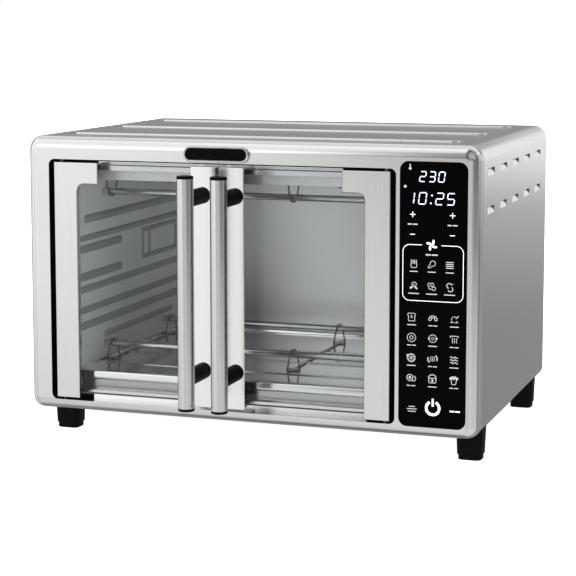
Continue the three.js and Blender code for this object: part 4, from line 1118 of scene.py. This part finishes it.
def nuggets(pen):
    for dx, dz, r in ((-2.2, 1.8, 1.5), (0.6, 2.0, 1.5), (-1, -0.8, 1.7), (2.2, -1.8, 1.7)):
        pen.ring(dx, dz, r, 0.7, 12)


def prawns(pen):
    pen.arc(-0.4, 1.6, 2.3, 30, 260, 1.0, 12)
    pen.arc(0.8, -1.6, 2.3, 200, 420, 1.0, 12)
    pen.bar(1.4, 2.6, 3.6, 3.4, 0.6)


def fan(pen):
    """Four slanted blades round a hub."""
    reach, slant = 3.1, 24
    for blade in (60, 150, 240, 330):
        angle = math.radians(blade)
        pen.dot(reach * math.cos(angle), reach * math.sin(angle), 2.5, 0.42, blade + slant)
    pen.dot(0, 0, 0.8)


def power(pen):
    """Plain on-off sign: an open ring and a bar."""
    pen.arc(0, 0, 6.2, 118, 422, 3.1, 40)
    pen.bar(0, 1.6, 0, 9.0, 2.4)


class OVEN_OT_control_panel(bpy.types.Operator):
    """Black control glass with its printed signs and lit digits"""
    bl_idname = "oven.control_panel"
    bl_label = "Control Panel"

    def execute(self, context):
        sizes = context.scene.oven_sizes
        low, high = corners("control_glass")
        bm = bmesh.new()
        rounded_block(bm, low, high, 1, sizes.panel_corner, 12)
        round_over(bm, edge_loop_at(bm, 1, low.y), 0.0005, 3)
        piece(
            bm, "control_glass_skin", "oven", "glass", "panel_glass", ("control_glass",), smooth=40,
        )
        left, right = low.x * 1000, high.x * 1000
        bottom, top = low.z * 1000, high.z * 1000
        self.digits(low.y, left, top)
        self.signs(low.y, left, right, bottom, top)
        return {"FINISHED"}

    def digits(self, front, left, top):
        """Temperature over time, in mm from the glass's left and top edges."""
        lit = Legend(front)
        upper, lower = top - 18.2, top - 39.1
        for i, character in enumerate("230"):
            digit(lit, character, left + 18.6 + 8.9 * i, upper, 5.4, 9.2, 0.85)
        for place, character in ((10.6, "1"), (17.8, "0"), (34.0, "2"), (44.6, "5")):
            width = 6.6 if character != "1" else 2.4
            digit(lit, character, left + place, lower, width, 10.6, 0.85)
        lit.dot(left + 30.6, lower + 8.2, 0.8)
        lit.dot(left + 29.6, lower + 1.0, 0.8)
        piece(lit.bm, "lit_digits", "oven", "digits", "panel_glass")

    def signs(self, front, left, right, bottom, top):
        """All printed signs, in mm from the glass's edges; the weights thin every stroke."""
        bold, fine = Legend(front, 0.8), Legend(front, 0.74)
        fine.bar(left + 9.7, top - 5.5, left + 9.7, top - 2.2, 1.3)
        fine.dot(left + 9.7, top - 6.3, 1.3)
        fine.dot(left + 5.1, top - 23.1, 1.3)
        for x in (left + 12.5, left + 50.3):
            bold.bar(x - 2.6, top - 48.9, x + 2.6, top - 48.9, 0.8)
            bold.bar(x, top - 51.5, x, top - 46.3, 0.8)
            bold.bar(x - 2.3, top - 67.4, x + 2.3, top - 67.4, 0.8)
            fine.words(x, top - 58.0, (4.0, 4.4), 1.5)
        bold.draw(fan, left + 30.8, top - 76.9)
        fine.words(left + 30.8, top - 86.0, (5.2, 5.2), 1.6)
        self.outline(bold, left + 3.4, right - 3.2, top - 129.3, top - 77.0, left + 30.8)
        boxed = ((sticks, drumstick, strips), (leaves, nuggets, prawns))
        for row, drawings in enumerate(boxed):
            for column, sign in enumerate(drawings):
                x = left + 13.9 + 17.1 * column
                z = top - 95.0 - 20.6 * row
                fine.draw(sign, x, z)
                fine.words(x, z - 7.0, (7.6,) if row == 0 else (10.4,), 1.1)
        plain = (
            (toast, loaf, joint_on_dish),
            (bagel, cycle, grill),
            (round_pie, steam, waves),
            (slices, pot, carton),
        )
        for row, drawings in enumerate(plain):
            for column, sign in enumerate(drawings):
                x = left + 12.2 + 20.4 * column
                z = top - 145.0 - 19.2 * row
                fine.draw(sign, x, z)
                fine.words(x, z - 7.2, (3.8, 3.8) if (row + column) % 2 else (8.4,), 1.1)
        bold.draw(power, left + 33.2, bottom + 18.8)
        for i, length in enumerate((6.0, 9.6, 7.6)):
            fine.words(left + 13.1, bottom + 19.2 - 2.3 * i, (length,), 0.9)
        bold.words(right - 9.7, bottom + 17.0, (4.4, 4.4), 1.6)
        piece(bold.bm, "white_signs", "oven", "legend", "panel_glass")
        piece(fine.bm, "grey_signs", "oven", "faint", "panel_glass")

    def outline(self, pen, x0, x1, z0, z1, gap_at):
        """Rounded frame round the upper signs, open where the fan sign stands."""
        radius, width, gap = 6.5, 0.7, 9.2
        pen.path([(x0 + radius, z0), (x1 - radius, z0)], width)
        pen.arc(x1 - radius, z0 + radius, radius, -90, 0, width, 10)
        pen.path([(x1, z0 + radius), (x1, z1 - radius)], width)
        pen.arc(x1 - radius, z1 - radius, radius, 0, 90, width, 10)
        pen.path([(x1 - radius, z1), (gap_at + gap, z1)], width)
        pen.path([(gap_at - gap, z1), (x0 + radius, z1)], width)
        pen.arc(x0 + radius, z1 - radius, radius, 90, 180, width, 10)
        pen.path([(x0, z1 - radius), (x0, z0 + radius)], width)
        pen.arc(x0 + radius, z0 + radius, radius, 180, 270, width, 10)


# ------------------------------------------------------------------ feet, cavity, heaters, inner parts
class OVEN_OT_feet(bpy.types.Operator):
    """Moulded feet with softened edges"""
    bl_idname = "oven.feet"
    bl_label = "Feet"

    def execute(self, context):
        for end in ("front", "rear"):
            for side in ("left", "right"):
                from_frame("foot_" + end + "_" + side, "foot", edge=0.0007, segments=3)
        return {"FINISHED"}


# Beads of the left wall, in metres: middle above the wall's lower edge, width, and start and end
# behind its front edge.
WALL_BEADS = (
    (0.1513, 0.0085, 0.013, 0.253),
    (0.1323, 0.0065, 0.003, 0.253),
    (0.1213, 0.0085, 0.003, 0.097),
    (0.0933, 0.0085, 0.003, 0.097),
    (0.0803, 0.0075, 0.003, 0.253),
    (0.0593, 0.0075, 0.003, 0.253),
    (0.0433, 0.0085, 0.003, 0.253),
    (0.0270, 0.0065, 0.057, 0.233),
)
# Raised border of the blanked lamp opening: front, rear, bottom and top edge; how far behind the
# front edge its inner upright stands; width of the border and its share of a bead's rise.
LAMP_BORDER = (0.1555, 0.2480, 0.0953, 0.1243)
LAMP_UPRIGHT = 0.018
LAMP_WIDTH, LAMP_SHARE = 0.0055, 0.8
ROD_HOLE = 0.0038  # radius of the hole that a heating rod passes through


class OVEN_OT_cavity(bpy.types.Operator):
    """Cavity sheets, front ring, crumb tray and the black sheets of painted shade behind the hinges"""
    bl_idname = "oven.cavity"
    bl_label = "Cavity"

    def execute(self, context):
        for node in ("cavity_right_wall", "cavity_ceiling", "cavity_floor"):
            from_frame(node, "liner", edge=0.00025, smooth=25)
        from_frame("cavity_back_wall", "rear", edge=0.00025, smooth=25)
        from_frame("cavity_ring", "ring", edge=0.0004, smooth=25)
        self.left_wall(context.scene.oven_sizes)
        self.tray()
        self.gap_shades(context.scene.oven_sizes)
        return {"FINISHED"}

    def left_wall(self, sizes):
        """Side sheet with holes for the rods, and the beads that stand out of it."""
        low, high = corners("cavity_left_wall")
        face = low.x + sizes.liner
        wall = bmesh.new()
        block(wall, low, (face, high.y, high.z))
        thing = raw(wall, "cavity_left_wall_skin")
        holes = bmesh.new()
        start, end = face - 2 * CLEAR, face + 2 * CLEAR
        for level in ("upper", "lower"):
            for place in ("front", "rear"):
                rod_low, rod_high = corners(level + "_rod_" + place)
                middle = (rod_low + rod_high) / 2
                profile = [(0, start), (ROD_HOLE, start), (ROD_HOLE, end), (0, end)]
                turn(holes, profile, (0, middle.y, middle.z), (1, 0, 0), 24)
        carve(thing, raw(holes, "holes"))
        finish(thing, "oven", "side", "liner_steel", ("cavity_left_wall",))
        self.wall_beads(low, face, sizes)

    def wall_beads(self, low, face, sizes):
        """Rounded beads and the raised border of the blanked lamp opening, set on the side sheet, in a
        darker material that is painted shade.
        """
        lines = [
            ((start, level), (end, level), width, sizes.bead_rise)
            for level, width, start, end in WALL_BEADS
        ]
        front, rear, bottom, top = LAMP_BORDER
        inner = front + LAMP_UPRIGHT
        border = (
            ((front, bottom), (rear, bottom)), ((front, top), (rear, top)),
            ((front, bottom), (front, top)), ((rear, bottom), (rear, top)),
            ((inner, bottom), (inner, top)),
        )
        lines += [(start, end, LAMP_WIDTH, sizes.bead_rise * LAMP_SHARE) for start, end in border]
        beads = bmesh.new()
        for start, end, width, rise in lines:
            radius = (width * width / 4 + rise * rise) / (2 * rise)
            centre = face + rise - radius
            first = Vector((centre, low.y + start[0], low.z + start[1]))
            last = Vector((centre, low.y + end[0], low.z + end[1]))
            self.bead(beads, first, last, radius)
        sunk = 0.0002
        bmesh.ops.bisect_plane(
            beads, geom=beads.verts[:] + beads.edges[:] + beads.faces[:], dist=1e-7,
            plane_co=(face - sunk, 0, 0), plane_no=(1, 0, 0), clear_inner=True,
        )
        rims = [edge for edge in beads.edges if edge.is_boundary]
        bmesh.ops.holes_fill(beads, edges=rims, sides=0)
        piece(beads, "cavity_left_wall_beads", "oven", "bead", "liner_steel")

    def second_finish(self, thing, look, chosen):
        """Gives the faces whose middle is chosen a second material."""
        thing.data.materials.append(MATERIALS[look])
        for face in thing.data.polygons:
            if chosen(face.center):
                face.material_index = 1

    def bead(self, bm, start, end, radius):
        """A round-ended bar between two points."""
        way = (end - start).normalized()
        length = (end - start).length
        quarter = [math.radians(15 * i) for i in range(7)]
        rounds = [(radius * math.sin(a), -radius * math.cos(a)) for a in quarter]
        profile = rounds + [(r, length - h) for r, h in reversed(rounds)]
        turn(bm, profile, start, way, 32)

    def tray(self):
        """Crumb tray: rolled front lip, upright mouth, floor with four cross creases, low rims."""
        low, high = corners("crumb_tray")
        front = [
            (0.0020, -0.0008), (0.0020, 0.0090), (0.0012, 0.0093), (0.0004, 0.0100), (0.0, 0.0110),
            (0.0, 0.0120), (0.0002, 0.0166), (0.0007, 0.0175), (0.0016, 0.0180),
        ]
        lip_height = 0.0095
        creases, first, pitch, half, height, steps = 4, 0.044, 0.060, 0.0075, 0.0011, 6
        points = [(low.y + y, low.z + z) for y, z in front]
        floor = low.z + front[-1][1]
        for i in range(creases):
            middle = low.y + first + pitch * i
            for step in range(-steps, steps + 1):
                rise = height * (0.5 + 0.5 * math.cos(math.pi * step / steps))
                points.append((middle + half * step / steps, floor + rise))
        points += [(high.y - 0.0015, floor), (high.y - 0.0003, floor + 0.0004), (high.y, high.z)]
        bm = bmesh.new()
        verts = [bm.verts.new((low.x, y, z)) for y, z in points]
        edges = [bm.edges.new(pair) for pair in zip(verts, verts[1:])]
        swept = bmesh.ops.extrude_edge_only(bm, edges=edges)["geom"]
        moved = [item for item in swept if isinstance(item, bmesh.types.BMVert)]
        bmesh.ops.translate(bm, vec=(high.x - low.x, 0, 0), verts=moved)
        bmesh.ops.recalc_face_normals(bm, faces=bm.faces)
        if sum(face.normal.z * face.calc_area() for face in bm.faces) < 0:
            bmesh.ops.reverse_faces(bm, faces=bm.faces)
        bmesh.ops.solidify(bm, geom=bm.faces, thickness=0.0007)
        thing = raw(bm, "crumb_tray_skin")
        rims, wall = bmesh.new(), 0.001
        for x in (low.x, high.x - wall):
            start, end = (x, low.y + 0.0075, floor - wall / 2), (x + wall, high.y - 0.0004, high.z)
            block(rims, start, end)
        carve(thing, raw(rims, "rims"), "UNION")
        finish(thing, "oven", "tray", "liner_steel", ("crumb_tray",), smooth=40)
        self.second_finish(thing, "skirt", lambda middle: middle.z < low.z + lip_height)

    def gap_shades(self, sizes):
        """Painted shade: black sheets on the ring behind the hinge stiles, above and below their arms
        and along the opening's top, standing in for the shade in the gaps round them.
        """
        ring_low, _ = corners("cavity_ring")
        open_low, open_high = opening(sizes)
        front, back = ring_low.y - 0.00006, ring_low.y - 0.00001
        middle = (open_low.x + open_high.x) / 2
        bottom, top = open_low.z, open_high.z
        stile, bar, thin = 0.018, 0.0042, 0.0024
        # Over and under are how far the strips above and below the stile's arms reach in.
        for side, edge, way, over, under in (
            ("left", open_low.x, 1, 0.047, 0.039), ("right", open_high.x, -1, 0.056, 0.032),
        ):
            inner, far = edge + way * stile, edge + way * over
            spans = (
                (edge, inner, bottom, top), (inner, far, top - bar, top),
                (inner, edge + way * under, bottom, bottom + bar), (far, middle, top - thin, top),
            )
            # Each strip is painted shade, a black sheet where the gap is only in shadow.
            bm = bmesh.new()
            for x0, x1, z0, z1 in spans:
                block(bm, (min(x0, x1), front, z0), (max(x0, x1), back, z1))
            piece(bm, side + "_hinge_gap_shade", "oven", "gap_shade", "black_plastic")


class OVEN_OT_heaters(bpy.types.Operator):
    """Sheathed heating rods with ceramic ends, their wires, and the temperature probe"""
    bl_idname = "oven.heaters"
    bl_label = "Heaters"

    def execute(self, context):
        for level in ("upper", "lower"):
            for place in ("front", "rear"):
                self.rod(level + "_rod_" + place)
        for wire in ("upper_hanger_", "lower_stand_"):
            for side in ("left", "right"):
                from_frame(wire + side, "wire", edge=0.0, smooth=50)
        from_frame("temperature_sensor", "chrome", edge=0.0, smooth=40)
        return {"FINISHED"}

    def rod(self, node):
        """Turned rod: terminal, ceramic collar with a softened rim, sheath, and the same again."""
        low, high = corners(node)
        centre = (low + high) / 2
        neck, collar, shaft = 0.0015, (high.z - low.z) / 2, 0.00325
        stub, end, soft = 0.008, 0.0153, 0.0004
        half = [
            (0, 0), (neck, 0), (neck, stub), (collar - soft, stub), (collar, stub + soft),
            (collar, end - 0.0007), (shaft, end - 0.0003),
        ]
        profile = [(r, low.x + x) for r, x in half] + [(r, high.x - x) for r, x in reversed(half)]
        bm = bmesh.new()
        turn(bm, profile, (0, centre.y, centre.z), (1, 0, 0), 40)
        piece(bm, node + "_skin", "oven", "heater", "heater_sheath", (node,), smooth=40)


class OVEN_OT_inner_parts(bpy.types.Operator):
    """Parts behind the covers: pans, fan, boards, cable, catch and gland"""
    bl_idname = "oven.inner_parts"
    bl_label = "Inner Parts"

    looks = {
        "bottom_pan": "zinc", "back_panel": "zinc", "cord_gland": "black", "panel_carrier": "black",
        "display_module": "black", "control_board": "board", "power_board": "board",
        "fan_cup": "liner", "fan_motor": "zinc", "fan_shaft": "wire", "fan_blade": "liner",
        "cooling_blade": "black", "door_cable": "wire", "door_catch": "black",
    }

    def execute(self, context):
        for node, look in self.looks.items():
            from_frame(node, look, edge=0.0)
        return {"FINISHED"}


# ------------------------------------------------------------------ studio
# Soft cards round the object, in degrees: azimuth, half width and its softness; lowest and
# highest elevation and their softness; strength. Azimuth 0 is in front of the doors and turns
# to the right, 180 is behind.
CARDS = (
    (-44, 32, 22, -95, -2, 6, 0.35),
    (-60, 40, 10, -11, -2, 4, 0.40),
    (-14, 45, 16, -95, -1, 5, 0.48),
    (16, 20, 8, -8, -1, 3, 0.30),
    (-50, 32, 3, -2, 100, 6, 1.25),
    (-95, 26, 12, -60, 50, 14, 0.70),
    (-28, 12, 2, 4, 26, 3, 0.85),
    (180, 95, 30, 34, 100, 10, 0.84),
    (-20, 175, 5, 64, 100, 8, 0.15),
    (35, 40, 12, -4, 46, 8, 0.16),
    (64, 36, 12, -95, -8.5, 2, 0.90),
    (4, 26, 8, -95, -8.5, 2, 0.30),
    (34, 28, 8, 10, 60, 4, 0.40),
    (112, 26, 6, -5.4, 40, 1.5, 0.72),
    (125, 20, 8, -95, -9, 3, 0.20),
    (164, 22, 6, -5.2, 12, 1.2, 0.60),
    (164, 22, 6, -8.0, 14, 2.0, 0.18),
    (180, 62, 12, -95, 60, 14, 0.24),
)
ROOM_GLOW = 0.08  # light that the steel mirrors where there is no card


class OVEN_OT_stage(bpy.types.Operator):
    """Pale floor and backdrop, soft lights and the camera"""
    bl_idname = "oven.stage"
    bl_label = "Studio"

    def execute(self, context):
        studio = context.scene.oven_studio
        self.floor(studio)
        self.world(context, studio)
        self.lights(studio)
        self.camera(context, studio)
        context.scene.view_settings.view_transform = "Standard"
        return {"FINISHED"}

    def floor(self, studio):
        """Wide matt paper that glows a little, so that shadows stay pale."""
        bm = bmesh.new()
        bmesh.ops.create_grid(bm, x_segments=2, y_segments=2, size=60.0)
        sheet = raw(bm, "floor")
        material, _, shader = new_material("matt_paper", studio.floor_colour, Roughness=0.9)
        shader.inputs["Emission Color"].default_value = (1, 1, 1, 1)
        shader.inputs["Emission Strength"].default_value = studio.floor_glow
        sheet.data.materials.append(material)
        sheet.visible_glossy = False

    def world(self, context, studio):
        """A pale room for the eye; soft cards round the object for what it mirrors."""
        world = bpy.data.worlds.new("soft_room")
        world.use_nodes = True
        tree = world.node_tree
        back = tree.nodes["Background"]
        where = add_node(tree, "ShaderNodeTexCoord")
        way = add_node(tree, "ShaderNodeSeparateXYZ", links={"Vector": where.outputs["Generated"]})
        front = add_node(
            tree, "ShaderNodeMath", operation="MULTIPLY", inputs={1: -1.0},
            links={0: way.outputs["Y"]},
        )
        turn = add_node(
            tree, "ShaderNodeMath", operation="ARCTAN2",
            links={0: way.outputs["X"], 1: front.outputs["Value"]},
        )
        rise = add_node(tree, "ShaderNodeMath", operation="ARCSINE", links={0: way.outputs["Z"]})
        total = add_node(tree, "ShaderNodeValue")
        total.outputs[0].default_value = ROOM_GLOW
        level = total.outputs[0]
        for card in CARDS:
            level = self.card(tree, turn.outputs["Value"], rise.outputs["Value"], level, *card)
        seen = add_node(tree, "ShaderNodeLightPath")
        pick = add_node(
            tree, "ShaderNodeMix", data_type="RGBA",
            links={"Factor": seen.outputs["Is Camera Ray"], "A": level},
        )
        pick.inputs["B"].default_value = (*studio.room_colour, 1)
        tree.links.new(pick.outputs["Result"], back.inputs["Color"])
        back.inputs["Strength"].default_value = 1.0
        context.scene.world = world

    def card(self, tree, turn, rise, level, azimuth, half, side, low, high, soft, strength):
        """Adds a soft-edged patch of light, given in degrees, to the level so far."""
        off = add_node(
            tree, "ShaderNodeMath", operation="SUBTRACT", inputs={1: math.radians(azimuth)},
            links={0: turn},
        )
        wrapped = add_node(
            tree, "ShaderNodeMath", operation="WRAP",
            inputs={1: math.pi, 2: -math.pi}, links={0: off.outputs["Value"]},
        )
        away = add_node(
            tree, "ShaderNodeMath", operation="ABSOLUTE", links={0: wrapped.outputs["Value"]},
        )
        amount = strength
        edges = (
            (away.outputs["Value"], half + side, half - side),
            (rise, low - soft, low + soft),
            (rise, high + soft, high - soft),
        )
        for source, outside, inside in edges:
            fade = add_node(
                tree, "ShaderNodeMapRange", interpolation_type="SMOOTHSTEP",
                inputs={"From Min": math.radians(outside), "From Max": math.radians(inside)},
                links={"Value": source},
            )
            step = add_node(
                tree, "ShaderNodeMath", operation="MULTIPLY", links={0: fade.outputs["Result"]},
            )
            if isinstance(amount, float):
                step.inputs[1].default_value = amount
            else:
                tree.links.new(amount, step.inputs[1])
            amount = step.outputs["Value"]
        both = add_node(tree, "ShaderNodeMath", operation="ADD", links={0: amount, 1: level})
        return both.outputs["Value"]

    def lights(self, studio):
        """A very soft light from above for paper and plastics, and a low lamp for the cavity. Steel
        mirrors the cards, so neither light shows in it."""
        key = bpy.data.lights.new("overhead", "SUN")
        key.angle = math.radians(90)
        key.energy = studio.key_power
        fill = bpy.data.lights.new("low_fill", "AREA")
        fill.size = studio.fill_size
        fill.energy = studio.fill_power
        place = Vector(studio.fill_place)
        facing = (Vector(studio.fill_aim) - place).to_track_quat("-Z", "Y").to_euler()
        overhead_tilt = (math.radians(14), math.radians(-10), 0)
        for light, spot, tilt in ((key, (0, 0, 0), overhead_tilt), (fill, place, facing)):
            thing = bpy.data.objects.new(light.name, light)
            thing.location = spot
            thing.rotation_euler = tilt
            thing.visible_glossy = False
            bpy.context.scene.collection.objects.link(thing)

    def camera(self, context, studio):
        """Camera turned round the aim point, with its lens shift."""
        data = bpy.data.cameras.new("camera")
        data.sensor_width = 36.0
        data.lens = studio.lens
        data.shift_y = studio.shift
        thing = bpy.data.objects.new("camera", data)
        az, el = studio.azimuth, studio.elevation
        away = Vector((math.sin(az) * math.cos(el), -math.cos(az) * math.cos(el), math.sin(el)))
        aim = Vector(studio.aim)
        thing.location = aim + away * studio.distance
        thing.rotation_euler = (-away).to_track_quat("-Z", "Y").to_euler()
        context.scene.collection.objects.link(thing)
        context.scene.camera = thing


STEPS = (
    OVEN_OT_front_frame,
    OVEN_OT_housing,
    OVEN_OT_doors,
    OVEN_OT_handles,
    OVEN_OT_badge,
    OVEN_OT_control_panel,
    OVEN_OT_feet,
    OVEN_OT_cavity,
    OVEN_OT_heaters,
    OVEN_OT_inner_parts,
    OVEN_OT_stage,
)


class OVEN_PT_panel(bpy.types.Panel):
    """Lists the oven's steps and settings"""
    bl_idname = "OVEN_PT_panel"
    bl_label = "Toaster Oven"
    bl_space_type = "VIEW_3D"
    bl_region_type = "UI"
    bl_category = "Oven"

    def draw(self, context):
        for step in STEPS:
            self.layout.operator(step.bl_idname)
        scene = context.scene
        for group in (scene.oven_sizes, scene.oven_colours, scene.oven_studio):
            box = self.layout.box()
            for key in group.__annotations__:
                box.prop(group, key)


CLASSES = (OvenSizes, OvenColours, StudioSettings, *STEPS, OVEN_PT_panel)


def register():
    for cls in CLASSES:
        bpy.utils.register_class(cls)
    bpy.types.Scene.oven_sizes = bpy.props.PointerProperty(type=OvenSizes)
    bpy.types.Scene.oven_colours = bpy.props.PointerProperty(type=OvenColours)
    bpy.types.Scene.oven_studio = bpy.props.PointerProperty(type=StudioSettings)


def unregister():
    del bpy.types.Scene.oven_studio
    del bpy.types.Scene.oven_colours
    del bpy.types.Scene.oven_sizes
    for cls in reversed(CLASSES):
        bpy.utils.unregister_class(cls)


def main():
    register()
    make_materials(bpy.context.scene.oven_colours)
    for step in STEPS:
        group, name = step.bl_idname.split(".")
        getattr(getattr(bpy.ops, group), name)()


if __name__ == "__main__":
    main()
